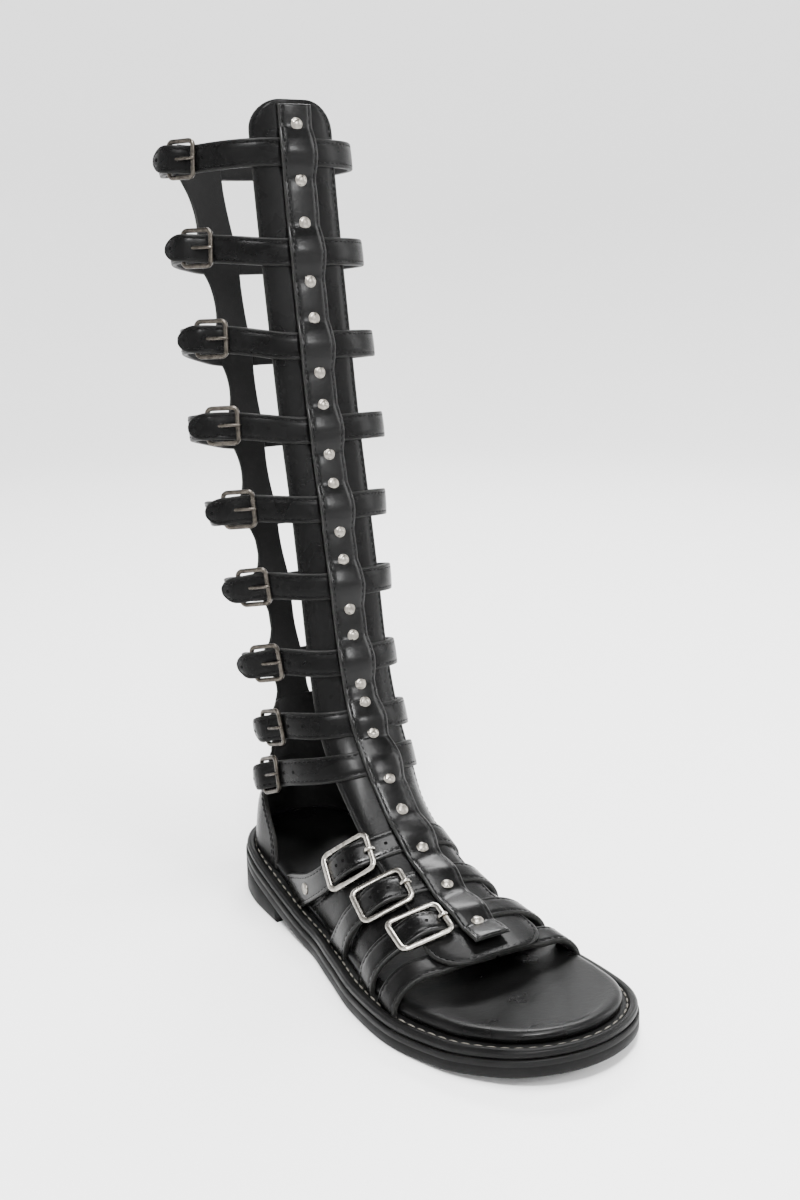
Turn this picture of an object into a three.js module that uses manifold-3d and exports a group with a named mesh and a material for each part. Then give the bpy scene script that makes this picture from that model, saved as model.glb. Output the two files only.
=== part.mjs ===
// Knee-high gladiator sandal, right shoe, standing empty on its sole.
// Millimetres, +Z up, toe towards -Y, inner (medial) side towards +X.
// Origin: on the floor under the heel, just ahead of its back end.
import * as THREE from 'three';
import Module from 'manifold-3d';

const wasm = await Module();
wasm.setup();

// ---- driving dimensions -------------------------------------------------
const soleLength = 268;
const heelEnd = 6; // back of the sole, behind the origin
const outsoleThick = 8;
const midsoleThick = 3.4;
const insoleThick = 5.5;
const insoleInset = 9.6;
const insoleRound = 2.4; // how far the insole's edge rolls down
const gap = 0.3; // between pieces that touch
const stripGap = 0.45; // under the front strip, where the instep is hollow
const heelLift = 14; // heel seat above the forefoot
const toeSpring = 7;
const heelBreast = -64; // front face of the heel block
const ballStart = -108; // the tread touches the floor from here forward
const toeBreak = -188; // and lifts off again from here
const seatTop = -12; // the heel seat levels out from here back

const strapWidth = 13;
const strapThick = 2.6;
const strapIn = 0.6; // a strap's inner face, outside the inner face of the bands
const bandThick = 1.8; // backing band, back band and heel counter
const overlayThick = 1.6;
const overlayHalf = 8.5;
const backingHalf = 21;
const flapHalf = 27;
const flapStart = 388; // the backing band widens into the toe flap from here
const topTab = -12; // top edge of the front strip, measured down the strip
const flapEnd = 431; // rounded end of the flap over the toes
const cornerRadius = 15; // of the top tab and the flap
const stripEnd = 424;
const rampNear = 7.1; // the front strip stays up this far either side of a strap
const rampFar = 8.9; // and lies flat again from here
const rivetRadius = 2.6;
const rivetHigh = 1.5;
const rivetSides = 8;
const shaftBuckle = { long: 16.5, wide: 18.8, wire: 2.3, thick: 2, corner: 3, prong: 1.6 };
const footBuckle = { long: 27, wide: 22, wire: 2.8, thick: 2.4, corner: 4.5, prong: 2.2 };

// The sole's outline, t from heel to toe: its middle and its half width.
const soleRows = [
  { t: 0, mid: -7.5, half: 0 },
  { t: 0.05, mid: -7.5, half: 26.5 },
  { t: 0.11, mid: -8, half: 33.8 },
  { t: 0.18, mid: -8.2, half: 36.4 },
  { t: 0.27, mid: -8.3, half: 36.8 },
  { t: 0.39, mid: -8.5, half: 36.8 },
  { t: 0.505, mid: -6.7, half: 42.8 },
  { t: 0.62, mid: -4.8, half: 49.3 },
  { t: 0.73, mid: -2, half: 52 },
  { t: 0.844, mid: 2, half: 48 },
  { t: 0.933, mid: 4.7, half: 36.3 },
  { t: 1, mid: 5, half: 0 },
];

// Sections of the leg and foot, inside face. s runs down the front strip, y and z
// are its place there, tilt is how far a section drops towards the back in
// degrees, and lat, med and deep are its half widths and its depth.
const legRows = [
  { s: -13, y: -20, z: 393, tilt: 3, lat: 41.5, med: 41, deep: 92 },
  { s: 13, y: -22.4, z: 368, tilt: 3, lat: 41.2, med: 41, deep: 87 },
  { s: 58.7, y: -28.1, z: 322.5, tilt: 5, lat: 41.3, med: 41, deep: 71 },
  { s: 102.8, y: -34.9, z: 279, tilt: 7, lat: 42.2, med: 41.5, deep: 65 },
  { s: 142.9, y: -41.6, z: 239.5, tilt: 9, lat: 43.8, med: 42, deep: 62 },
  { s: 181, y: -50.4, z: 202.5, tilt: 11, lat: 40.3, med: 37, deep: 61 },
  { s: 218.5, y: -58.5, z: 166, tilt: 12, lat: 35, med: 34, deep: 59 },
  { s: 255.6, y: -66.8, z: 129.5, tilt: 14, lat: 31.5, med: 31, deep: 60 },
  { s: 286, y: -77.6, z: 101.5, tilt: 17, lat: 29, med: 31, deep: 68 },
  { s: 309, y: -91.5, z: 83.5, tilt: 20, lat: 30.5, med: 29, deep: 86 },
  { s: 328, y: -105, z: 69.5, tilt: 42, lat: 36, med: 26, deep: 92 },
  { s: 350, y: -122, z: 55.5, tilt: 70, lat: 38.5, med: 28, deep: 76 },
  { s: 376, y: -144.5, z: 43.4, tilt: 82, lat: 42, med: 31.5, deep: 57 },
  { s: 403, y: -170, z: 35.2, tilt: 88, lat: 46, med: 38, deep: 44 },
  { s: 431, y: -198, z: 29, tilt: 90, lat: 48, med: 43.5, deep: 36 },
];
const legPower = 2.35; // 2 is an ellipse, more is squarer

// Shaft straps from the top: s at the front, buckle angle round the outer side,
// from where the buckle holds it straight and where it folds back round the hinge
// bar, how far it climbs to the buckle, and how far the inner side runs down.
const shaftStraps = [
  { s: 13, buckle: 72, flat: 55, fold: 82.5, climb: -2.1, run: 0 },
  { s: 58.7, buckle: 73.2, flat: 55, fold: 82.3, climb: 3.2, run: 0 },
  { s: 102.8, buckle: 72.5, flat: 55, fold: 80.8, climb: 5.6, run: 0 },
  { s: 142.9, buckle: 72, flat: 55, fold: 79.7, climb: 5.4, run: 0 },
  { s: 181, buckle: 71.5, flat: 55, fold: 80.3, climb: 4.3, run: 0 },
  { s: 218.5, buckle: 74, flat: 55, fold: 84.3, climb: 4.3, run: 0 },
  { s: 255.6, buckle: 75.2, flat: 55, fold: 87.7, climb: 4.8, run: 0 },
  { s: 286, buckle: 88, flat: 70, fold: 104.5, climb: 3.4, run: 0 },
  { s: 308, buckle: 101, flat: 70, fold: 116, climb: 2, run: 14 },
];

// Foot straps: s at the front strip, how far each end runs back on its way down
// to the sole, its half width at the sole, and the buckle's angle if it has one.
const footStraps = [
  { name: 'a', s: 350, latBack: 17, medBack: 12, latHalf: 9, medHalf: 10, buckle: 45 },
  { name: 'b', s: 376, latBack: 14, medBack: 5, latHalf: 11, medHalf: 10.5, buckle: 46.5 },
  { name: 'c', s: 403, latBack: 8, medBack: 2, latHalf: 10.5, medHalf: 11, buckle: 48 },
  { name: 'd', s: 423, latBack: 8, medBack: 1, latHalf: 11.5, medHalf: 11, buckle: 0 },
];

// Heel counter, z up the back: its middle, its rearmost y, its half width, and
// the y of its front edge.
const counterRows = [
  { z: 18, mid: -7.5, back: -3, half: 29, edge: -51 },
  { z: 35, mid: -7, back: -4, half: 28, edge: -47 },
  { z: 46, mid: -7, back: -5, half: 26.5, edge: -37 },
  { z: 58, mid: -6.5, back: -9, half: 24, edge: -26 },
  { z: 76, mid: -5.5, back: -12.5, half: 20.5, edge: -23 },
  { z: 100, mid: -4.5, back: -11.5, half: 17, edge: -19 },
];

// Back band by s: its middle off the centre line and its half width.
const backRows = [
  { s: 3, mid: -12.5, half: 10.5 },
  { s: 40, mid: -12.5, half: 9.5 },
  { s: 70, mid: -12.1, half: 8.3 },
  { s: 112, mid: -11.3, half: 7.4 },
  { s: 154, mid: -11.2, half: 7.4 },
  { s: 195, mid: -9.5, half: 6.8 },
  { s: 234, mid: -7.8, half: 6.6 },
  { s: 262, mid: -7, half: 8 },
  { s: 298, mid: -5.5, half: 15 },
];

// Rivets down the front strip, by s.
const rivetStations = [
  0, 26, 45.6, 72.8, 90.2, 115.8, 131.5, 155.2, 169.8, 192.8, 206.8, 230.4, 243.5, 267.6, 277.5,
  294.2, 318.5, 335.4, 358.6, 384.2, 411.4,
];

// ---- tables and curves --------------------------------------------------
const degree = Math.PI / 180;
const clamp01 = (x) => Math.min(Math.max(x, 0), 1);
const smooth = (from, to, x) => {
  const k = clamp01((x - from) / (to - from));
  return k * k * (3 - 2 * k);
};

// A curve through one column of a table, with no overshoot between its rows.
function column(rows, key, name) {
  const xs = rows.map((row) => row[key]);
  const ys = rows.map((row) => row[name]);
  const last = xs.length - 1;
  const slope = xs.slice(1).map((x, i) => (ys[i + 1] - ys[i]) / (x - xs[i]));
  const tangent = xs.map((x, i) => {
    if (i === 0) return slope[0];
    if (i === last) return slope[last - 1];
    if (slope[i - 1] * slope[i] <= 0) return 0;
    return (2 * slope[i - 1] * slope[i]) / (slope[i - 1] + slope[i]);
  });
  return (x) => {
    let i = xs.findIndex((knot) => knot > x) - 1;
    if (i < 0) i = x < xs[0] ? 0 : last - 1;
    const h = xs[i + 1] - xs[i];
    const k = (x - xs[i]) / h;
    if (k < 0) return ys[i] + tangent[i] * (x - xs[i]);
    if (k > 1) return ys[i + 1] + tangent[i + 1] * (x - xs[i + 1]);
    const a = (1 + 2 * k) * (1 - k) ** 2 * ys[i] + k * (1 - k) ** 2 * h * tangent[i];
    const b = k * k * (3 - 2 * k) * ys[i + 1] - k * k * (1 - k) * h * tangent[i + 1];
    return a + b;
  };
}

// ---- closed solids ------------------------------------------------------
function solid(points, triangles) {
  let volume = 0;
  const turned = new THREE.Vector3();
  for (const [a, b, c] of triangles) {
    volume += points[a].dot(turned.crossVectors(points[b], points[c]));
  }
  const faces = volume < 0 ? triangles.map(([a, b, c]) => [a, c, b]) : triangles;
  const vertProperties = new Float32Array(points.flatMap((p) => [p.x, p.y, p.z]));
  const triVerts = new Uint32Array(faces.flat());
  return new wasm.Manifold(new wasm.Mesh({ numProp: 3, vertProperties, triVerts }));
}

// A closed plate between two grids of points with the same rows and columns.
function plate(lower, upper) {
  const rows = lower.length;
  const cols = lower[0].length;
  const points = [...lower.flat(), ...upper.flat()];
  const at = (i, j, side) => side * rows * cols + i * cols + j;
  const triangles = [];
  const quad = (a, b, c, d) => triangles.push([a, b, c], [a, c, d]);
  for (let i = 0; i < rows - 1; i++) {
    for (let j = 0; j < cols - 1; j++) {
      quad(at(i, j, 0), at(i, j + 1, 0), at(i + 1, j + 1, 0), at(i + 1, j, 0));
      quad(at(i, j, 1), at(i + 1, j, 1), at(i + 1, j + 1, 1), at(i, j + 1, 1));
    }
    quad(at(i, 0, 0), at(i + 1, 0, 0), at(i + 1, 0, 1), at(i, 0, 1));
    quad(at(i + 1, cols - 1, 0), at(i, cols - 1, 0), at(i, cols - 1, 1), at(i + 1, cols - 1, 1));
  }
  for (let j = 0; j < cols - 1; j++) {
    quad(at(0, j + 1, 0), at(0, j, 0), at(0, j, 1), at(0, j + 1, 1));
    quad(at(rows - 1, j, 0), at(rows - 1, j + 1, 0), at(rows - 1, j + 1, 1), at(rows - 1, j, 1));
  }
  return solid(points, triangles);
}

const steps = (count) => Array.from({ length: count + 1 }, (_, i) => i / count);
const offsetAt = (face, u, v) => (typeof face === 'function' ? face(u, v) : face);

// The outward direction of a surface at(u, v), which gives a point and the middle
// of its section.
function facing(at, u, v) {
  const nudge = 1e-3;
  const here = at(u, v);
  const du = at(u + nudge, v).point.sub(at(u - nudge, v).point);
  const dv = at(u, v + nudge).point.sub(at(u, v - nudge).point);
  const out = du.cross(dv).normalize();
  return out.dot(here.point.clone().sub(here.middle)) < 0 ? out.negate() : out;
}

function facePointAt(at, u, v, face) {
  return at(u, v).point.addScaledVector(facing(at, u, v), offsetAt(face, u, v));
}

// Leather over a surface, inner and outer the offsets of its two faces.
function leather(at, along, across, inner, outer) {
  const grid = (face) => along.map((u) => across.map((v) => facePointAt(at, u, v, face)));
  return plate(grid(inner), grid(outer));
}

function geometryOf(manifold) {
  const mesh = manifold.getMesh();
  const geometry = new THREE.BufferGeometry();
  geometry.setAttribute('position', new THREE.BufferAttribute(mesh.vertProperties.slice(), 3));
  geometry.setIndex([...mesh.triVerts]);
  geometry.computeVertexNormals();
  return geometry;
}

// ---- sole ---------------------------------------------------------------
const soleKnots = soleRows.map((row) => ({ ...row, turn: Math.acos(1 - 2 * row.t) }));
const soleMid = column(soleKnots, 'turn', 'mid');
const soleHalf = column(soleKnots, 'turn', 'half');
const rise = (y) => heelLift * smooth(ballStart, seatTop, y);
const spring = (y) => toeSpring * clamp01((toeBreak - y) / (toeBreak - heelEnd + soleLength)) ** 2;
const outsoleTop = (y) => outsoleThick + rise(y) + spring(y);
const midsoleTop = (y) => outsoleTop(y) + gap + midsoleThick;

// A slab with the sole's outline, drawn in by inset, from its heights at each y.
function slab({ inset, rows = 26, cols = 4, bottom, top, edgeDrop = 0 }) {
  const lower = [];
  const upper = [];
  const endTurn = 0.05;
  const middle = heelEnd - soleLength / 2;
  const endWidth = 30;
  for (let i = 0; i <= rows; i++) {
    const turn = endTurn + ((Math.PI - 2 * endTurn) * i) / rows;
    const wholeY = heelEnd - (soleLength * (1 - Math.cos(turn))) / 2;
    const y = middle + (wholeY - middle) * (1 - (2 * inset) / soleLength);
    const wide = soleHalf(turn);
    const drawn = wide - inset * Math.min(1, wide / endWidth);
    const endEdge = 1 - Math.sin(turn);
    const lowerRow = [];
    const upperRow = [];
    for (let j = 0; j <= cols; j++) {
      const across = (2 * j) / cols - 1;
      const x = soleMid(turn) + across * drawn;
      const edge = Math.max(Math.abs(across) ** 6, endEdge ** 2);
      lowerRow.push(new THREE.Vector3(x, y, bottom(y)));
      upperRow.push(new THREE.Vector3(x, y, top(y) - edgeDrop * edge));
    }
    lower.push(lowerRow);
    upper.push(upperRow);
  }
  return plate(lower, upper);
}

function box(low, high) {
  const corner = (x, y, z) => new THREE.Vector3(x ? high[0] : low[0], y ? high[1] : low[1], z);
  const face = (z) => [
    [corner(0, 0, z), corner(0, 1, z)],
    [corner(1, 0, z), corner(1, 1, z)],
  ];
  return plate(face(low[2]), face(high[2]));
}

function outsole() {
  const rim = { inset: 0 };
  const body = slab({ ...rim, bottom: (y) => rise(y) + spring(y), top: outsoleTop });
  const block = slab({ ...rim, bottom: () => 0, top: (y) => rise(y) + outsoleThick / 2 });
  const heelRoom = box([-80, heelBreast, -1], [80, 80, 60]);
  return body.add(block.intersect(heelRoom));
}

function midsole() {
  return slab({ inset: 0.8, bottom: (y) => outsoleTop(y) + gap, top: midsoleTop });
}

function insoleSlab(inset, under, over) {
  const base = (y) => midsoleTop(y) + gap;
  return slab({
    inset,
    cols: 6,
    bottom: (y) => base(y) - under,
    top: (y) => base(y) + insoleThick + over,
    edgeDrop: insoleRound,
  });
}

// ---- the leg's surface --------------------------------------------------
const leg = {};
for (const name of ['y', 'z', 'tilt', 'lat', 'med', 'deep']) leg[name] = column(legRows, 's', name);

// A point of the section at s: x sideways and back, its distance in from the front.
function place(s, x, back) {
  const tilt = leg.tilt(s) * degree;
  const y = leg.y(s) + back * Math.cos(tilt);
  return new THREE.Vector3(x, y, leg.z(s) - back * Math.sin(tilt));
}

function middleOf(s) {
  return place(s, 0, leg.deep(s) / 2);
}

// Round the section: 0 degrees at the front, positive to the inner side.
function legPoint(s, turn) {
  const half = turn < 0 ? leg.lat(s) : leg.med(s);
  const radius = leg.deep(s) / 2;
  const sin = Math.sin(turn * degree);
  const cos = Math.cos(turn * degree);
  const reach = (Math.abs(sin / half) ** legPower + Math.abs(cos / radius) ** legPower);
  const r = reach ** (-1 / legPower);
  return { point: place(s, r * sin, radius - r * cos), middle: middleOf(s) };
}

// On the front (side -1) or back (side 1) of the section, x off its middle line.
function facePoint(s, x, side) {
  const half = x < 0 ? leg.lat(s) : leg.med(s);
  const bow = (1 - Math.min(Math.abs(x / half), 1) ** legPower) ** (1 / legPower);
  return { point: place(s, x, (leg.deep(s) / 2) * (1 + side * bow)), middle: middleOf(s) };
}

// A band along a route u -> [s, turn], with its own half width.
function alongRoute(route, half) {
  const nudge = 1e-3;
  return (u, v) => {
    const here = legPoint(...route(u));
    const [s, turn] = route(u);
    const path = legPoint(...route(u + nudge)).point.sub(legPoint(...route(u - nudge)).point);
    path.normalize();
    const wide = legPoint(s + nudge, turn).point.sub(legPoint(s - nudge, turn).point);
    wide.addScaledVector(path, -wide.dot(path)).normalize();
    const width = typeof half === 'function' ? half(u) : half;
    return { point: here.point.addScaledVector(wide, (2 * v - 1) * width), middle: here.middle };
  };
}

// ---- upper --------------------------------------------------------------
// Half width of the backing band, round at the top tab and flared at the flap.
function backingWidth(s) {
  const flare = (flapHalf - backingHalf) * smooth(flapStart, flapEnd - cornerRadius, s);
  const end = Math.min(s - topTab, flapEnd - s);
  const round = Math.max(cornerRadius - end, 0);
  return backingHalf + flare - cornerRadius + Math.sqrt(cornerRadius ** 2 - round ** 2);
}

function backingBand() {
  const at = (s, v) => {
    const width = backingWidth(Math.min(Math.max(s, topTab), flapEnd));
    return facePoint(s, (2 * v - 1) * width, -1);
  };
  const shaft = steps(13).map((k) => 3 + 250 * k);
  const foot = steps(17).map((k) => 262 + 153 * k);
  const top = [0, 1.2, 4, 8.5].map((d) => topTab + d);
  const toe = [8, 3.5, 1, 0].map((d) => flapEnd - d);
  const rows = [...top, ...shaft, ...foot, ...toe];
  return leather(at, rows, steps(6), 0, bandThick);
}

const strapFrom = -168;
const strapTo = 188;
const strapTurn = (u) => strapFrom + (strapTo - strapFrom) * u;
const strapShare = (turn) => (turn - strapFrom) / (strapTo - strapFrom);

const strapRoute = ({ s, climb, run }) => (u) => {
  const turn = strapTurn(u);
  const up = climb * (smooth(15, 75, -turn) - smooth(95, 150, -turn));
  return [s - up + run * smooth(50, 150, turn), turn];
};

const strapAt = (strap) => alongRoute(strapRoute(strap), strapWidth / 2);

// How far a shaft strap stands off the leg: nothing up to where its buckle holds it
// straight, then along that straight line, and back in again behind the fold.
function standOff({ flat, fold }, s, turn) {
  if (turn > -flat) return 0;
  const leave = legPoint(s, -flat).point;
  const round = (t, along) => legPoint(along, t);
  const outAtLeave = facing(round, -flat, s);
  const pulled = (t) => {
    const gapTo = leave.clone().sub(legPoint(s, t).point);
    return gapTo.dot(outAtLeave) / facing(round, t, s).dot(outAtLeave);
  };
  if (turn > -fold) return pulled(turn);
  return pulled(-fold) * (1 - smooth(fold, fold + 50, -turn));
}

function strapFace(strap, offset) {
  const route = strapRoute(strap);
  return (u) => offset + standOff(strap, ...route(u));
}

function shaftStrap(strap) {
  const { flat, fold } = strap;
  const behind = [-168, -154, -140, -fold - 44, -fold - 33, -fold - 22, -fold - 11];
  const front = [-fold, -(flat + fold) / 2, -flat, -42, -28, -14, 0];
  const inside = steps(13).map((k) => 14 + (strapTo - 14) * k);
  const turns = [...behind, ...front, ...inside].sort((a, b) => a - b);
  const rows = turns.filter((turn, i) => i === 0 || turn - turns[i - 1] > 3).map(strapShare);
  const inner = strapFace(strap, strapIn);
  const outer = strapFace(strap, strapIn + strapThick);
  return leather(strapAt(strap), rows, steps(1), inner, outer);
}

const back = {};
for (const name of ['mid', 'half']) back[name] = column(backRows, 's', name);

// The back band climbs from the heel counter to the top strap, a little to the
// outer side, and swells where the strap ends are sewn in.
function backBand() {
  const low = backRows[backRows.length - 1].s;
  const high = backRows[0].s;
  const lift = (s) => Math.max(...shaftStraps.map((strap) => Math.exp(-(((s - strap.s) / 10) ** 2))));
  const route = (u) => low + (high - low) * u;
  const at = (u, v) => {
    const s = route(u);
    return facePoint(s, back.mid(s) + (2 * v - 1) * back.half(s), 1);
  };
  return leather(at, steps(34), steps(4), 0, (u) => bandThick + 2.6 * lift(route(u)));
}

const counter = {};
for (const name of ['mid', 'back', 'half', 'edge']) counter[name] = column(counterRows, 'z', name);

function heelCounter() {
  const lowest = counterRows[0].z;
  const highest = counterRows[counterRows.length - 1].z;
  const at = (u, v) => {
    const z = lowest + (highest - lowest) * u;
    const half = counter.half(z);
    const centre = counter.back(z) - half;
    const edge = counter.edge(z);
    const turn = edge < centre ? 90 * degree : Math.acos((edge - centre) / half);
    const side = 2 * v - 1;
    const along = Math.abs(side) * (half * turn + Math.max(centre - edge, 0));
    const round = Math.min(along / half, turn);
    const x = counter.mid(z) + Math.sign(side) * half * Math.sin(round);
    const y = centre + half * Math.cos(round) - Math.max(along - half * turn, 0);
    return { point: new THREE.Vector3(x, y, z), middle: new THREE.Vector3(counter.mid(z), centre - 20, z) };
  };
  return leather(at, steps(7), steps(16), 0, bandThick);
}

// One end of a foot strap, from under the front strip down into the sole.
const footReach = { from: 7, span: 112 };

function footStrapAt({ s, latBack, medBack, latHalf, medHalf }, side) {
  const runBack = side < 0 ? latBack : medBack;
  const foot = side < 0 ? latHalf : medHalf;
  const turn = (u) => side * (footReach.from + footReach.span * u);
  const route = (u) => [s - runBack * smooth(0, 1.15, u), turn(u)];
  const half = (u) => strapWidth / 2 + (foot - strapWidth / 2) * smooth(0.6, 1, u);
  return alongRoute(route, half);
}

function footStrapEnd(strap, side) {
  return leather(footStrapAt(strap, side), steps(12), steps(1), strapIn, strapIn + strapThick);
}

function upper() {
  let joined = backingBand();
  for (const strap of shaftStraps) joined = joined.add(shaftStrap(strap));
  joined = joined.add(backBand()).add(heelCounter());
  for (const strap of footStraps) {
    joined = joined.add(footStrapEnd(strap, -1)).add(footStrapEnd(strap, 1));
  }
  const floor = slab({ inset: -12, bottom: () => -40, top: (y) => midsoleTop(y) + gap });
  const bed = insoleSlab(insoleInset - 2 * gap, 1, gap);
  return joined.subtract(floor).subtract(bed);
}

// ---- front strip --------------------------------------------------------
const crossings = [...shaftStraps, ...footStraps].map((strap) => strap.s);
const stripAt = (s, v) => facePoint(s, (2 * v - 1) * overlayHalf, -1);
const strapRise = strapIn + strapThick - bandThick;

// Offset of the strip's inner face: over the backing, or over a strap.
function stripInner(s) {
  const near = Math.min(...crossings.map((station) => Math.abs(s - station)));
  return bandThick + stripGap + strapRise * clamp01((rampFar - near) / (rampFar - rampNear));
}

const stripOuter = (s) => stripInner(s) + overlayThick;

function frontStrip() {
  const start = topTab + 2;
  const ramps = [-rampFar, -rampNear, rampNear, rampFar];
  const rows = [323, 329, 335, ...crossings.flatMap((station) => ramps.map((ramp) => station + ramp))];
  const inside = rows.filter((s) => s > start + 1 && s < stripEnd - 1).sort((a, b) => a - b);
  return leather(stripAt, [start, ...inside, stripEnd], steps(3), stripInner, stripOuter);
}

// ---- metal parts --------------------------------------------------------
// A seat on a face: its point, the directions along, across and out, and how far
// out a flat part must stand to clear the face at every spot in under.
function seat({ at, face, u, v, du, dv, under }) {
  const corner = (a, b) => facePointAt(at, u + a * du, v + b * dv, face);
  const centre = corner(0, 0);
  const along = corner(1, 0).sub(corner(-1, 0)).normalize();
  const across = corner(0, 1).sub(corner(0, -1));
  const out = along.clone().cross(across).normalize();
  if (out.dot(centre.clone().sub(at(u, v).middle)) < 0) out.negate();
  across.copy(out).cross(along);
  const rises = under.map(([a, b]) => corner(a, b).sub(centre).dot(out));
  return { centre, along, across, out, lift: Math.max(...rises) + gap };
}

function seated(geometry, { centre, along, across, out, lift }) {
  const turned = new THREE.Matrix4().makeBasis(along, across, out);
  const moved = centre.clone().addScaledVector(out, lift);
  return geometry.applyMatrix4(turned.setPosition(moved));
}

function roundedOutline(outline, long, wide, corner) {
  const x = long / 2;
  const y = wide / 2;
  outline.moveTo(x - corner, -y);
  outline.lineTo(x, -y + corner);
  outline.lineTo(x, y - corner);
  outline.lineTo(x - corner, y);
  outline.lineTo(-x + corner, y);
  outline.lineTo(-x, y - corner);
  outline.lineTo(-x, -y + corner);
  outline.lineTo(-x + corner, -y);
  outline.closePath();
  return outline;
}

function buckleFrame({ long, wide, wire, thick, corner }) {
  const outline = roundedOutline(new THREE.Shape(), long, wide, corner);
  const cut = corner - wire * 0.6;
  outline.holes.push(roundedOutline(new THREE.Path(), long - 2 * wire, wide - 2 * wire, cut));
  return new THREE.ExtrudeGeometry(outline, { depth: thick, bevelEnabled: false });
}

// The prong lies in the frame's window, between its two bars.
function bucklePin({ long, wire, prong }) {
  const pin = new THREE.BoxGeometry(long - 2 * wire - 2 * gap, prong, prong * 0.7);
  return pin.translate(0, 0, prong * 0.35);
}

// Where a buckle bears on its strap, in shares of the frame's half length.
const bars = (wire, long) => {
  const spots = [];
  for (const a of [-1, 1 - (2 * wire) / long, (2 * wire) / long - 1, 1]) {
    for (const b of [-1, 0, 1]) spots.push([a, b]);
    spots.push([a * 0.6, -1], [a * 0.6, 1]);
  }
  return spots;
};
const window = [-0.6, -0.3, 0, 0.3, 0.6].flatMap((a) => [[a, -0.1], [a, 0.1]]);

function buckleSeats(at, face, u, shape) {
  const nudge = 1e-3;
  const speed = at(u + nudge, 0.5).point.distanceTo(at(u - nudge, 0.5).point) / (2 * nudge);
  const place = { at, face, u, v: 0.5, du: shape.long / 2 / speed, dv: 0.7 };
  const frame = seat({ ...place, under: bars(shape.wire, shape.long) });
  const pin = seat({ ...place, under: window });
  return { frame, pin };
}

function rivet(s) {
  const reach = rivetRadius / (2 * overlayHalf);
  const rim = Array.from({ length: 12 }, (_, i) => [Math.cos(i * 30 * degree), Math.sin(i * 30 * degree)]);
  const place = { at: stripAt, face: stripOuter, u: s, v: 0.5, du: rivetRadius, dv: reach };
  const spot = seat({ ...place, under: [[0, 0], ...rim] });
  const head = new THREE.CylinderGeometry(rivetRadius * 0.55, rivetRadius, rivetHigh, rivetSides);
  head.rotateX(90 * degree).translate(0, 0, rivetHigh / 2);
  return seated(head, spot);
}

// ---- assembly -----------------------------------------------------------
const finishes = {
  rubber: { color: 0x101011, roughness: 0.62, metalness: 0 },
  leather: { color: 0x0d0d0e, roughness: 0.38, metalness: 0 },
  lining: { color: 0x121213, roughness: 0.55, metalness: 0 },
  pewter: { color: 0x6e6a64, roughness: 0.35, metalness: 1 },
  nickel: { color: 0xb9b6b0, roughness: 0.28, metalness: 1 },
};

function piece(name, geometry, finish) {
  const mesh = new THREE.Mesh(geometry, new THREE.MeshStandardMaterial(finish));
  mesh.name = name;
  return mesh;
}

const sandal = new THREE.Group();
const addSolid = (name, manifold, finish) => sandal.add(piece(name, geometryOf(manifold), finish));

function addBuckle(name, at, face, u, shape) {
  const { frame, pin } = buckleSeats(at, face, u, shape);
  sandal.add(piece(`${name}_frame`, seated(buckleFrame(shape), frame), finishes.pewter));
  sandal.add(piece(`${name}_prong`, seated(bucklePin(shape), pin), finishes.pewter));
}

addSolid('outsole', outsole(), finishes.rubber);
addSolid('midsole_welt', midsole(), finishes.rubber);
addSolid('insole', insoleSlab(insoleInset, 0, 0), finishes.lining);
addSolid('upper', upper(), finishes.leather);
addSolid('front_strip', frontStrip(), finishes.leather);
shaftStraps.forEach((strap, i) => {
  const face = strapFace(strap, strapIn + strapThick);
  const u = strapShare(-strap.buckle);
  addBuckle(`shaft_buckle_${i + 1}`, strapAt(strap), face, u, shaftBuckle);
});
for (const strap of footStraps.filter((each) => each.buckle > 0)) {
  const u = (strap.buckle - footReach.from) / footReach.span;
  const face = strapIn + strapThick;
  addBuckle(`foot_buckle_${strap.name}`, footStrapAt(strap, -1), face, u, footBuckle);
}
rivetStations.forEach((s, i) => {
  sandal.add(piece(`rivet_${i + 1}`, rivet(s), finishes.nickel));
});

export default sandal;
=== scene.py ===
import math
import bmesh
import bpy
import numpy as np
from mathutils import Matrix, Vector


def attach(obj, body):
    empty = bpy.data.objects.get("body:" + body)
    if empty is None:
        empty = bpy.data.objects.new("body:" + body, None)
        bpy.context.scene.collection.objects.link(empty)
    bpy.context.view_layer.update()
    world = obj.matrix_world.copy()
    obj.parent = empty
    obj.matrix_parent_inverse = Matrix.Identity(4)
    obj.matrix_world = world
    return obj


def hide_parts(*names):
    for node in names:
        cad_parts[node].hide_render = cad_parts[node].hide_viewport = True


# Knee-high gladiator sandal, right shoe. The tables are in millimetres, the pieces in metres.
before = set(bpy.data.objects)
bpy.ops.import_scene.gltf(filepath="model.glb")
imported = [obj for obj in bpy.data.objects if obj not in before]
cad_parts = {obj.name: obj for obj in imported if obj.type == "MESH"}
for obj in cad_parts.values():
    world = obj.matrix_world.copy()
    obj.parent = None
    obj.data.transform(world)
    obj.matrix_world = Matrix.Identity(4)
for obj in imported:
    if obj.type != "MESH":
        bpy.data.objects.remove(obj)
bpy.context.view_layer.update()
scene = bpy.context.scene

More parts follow.
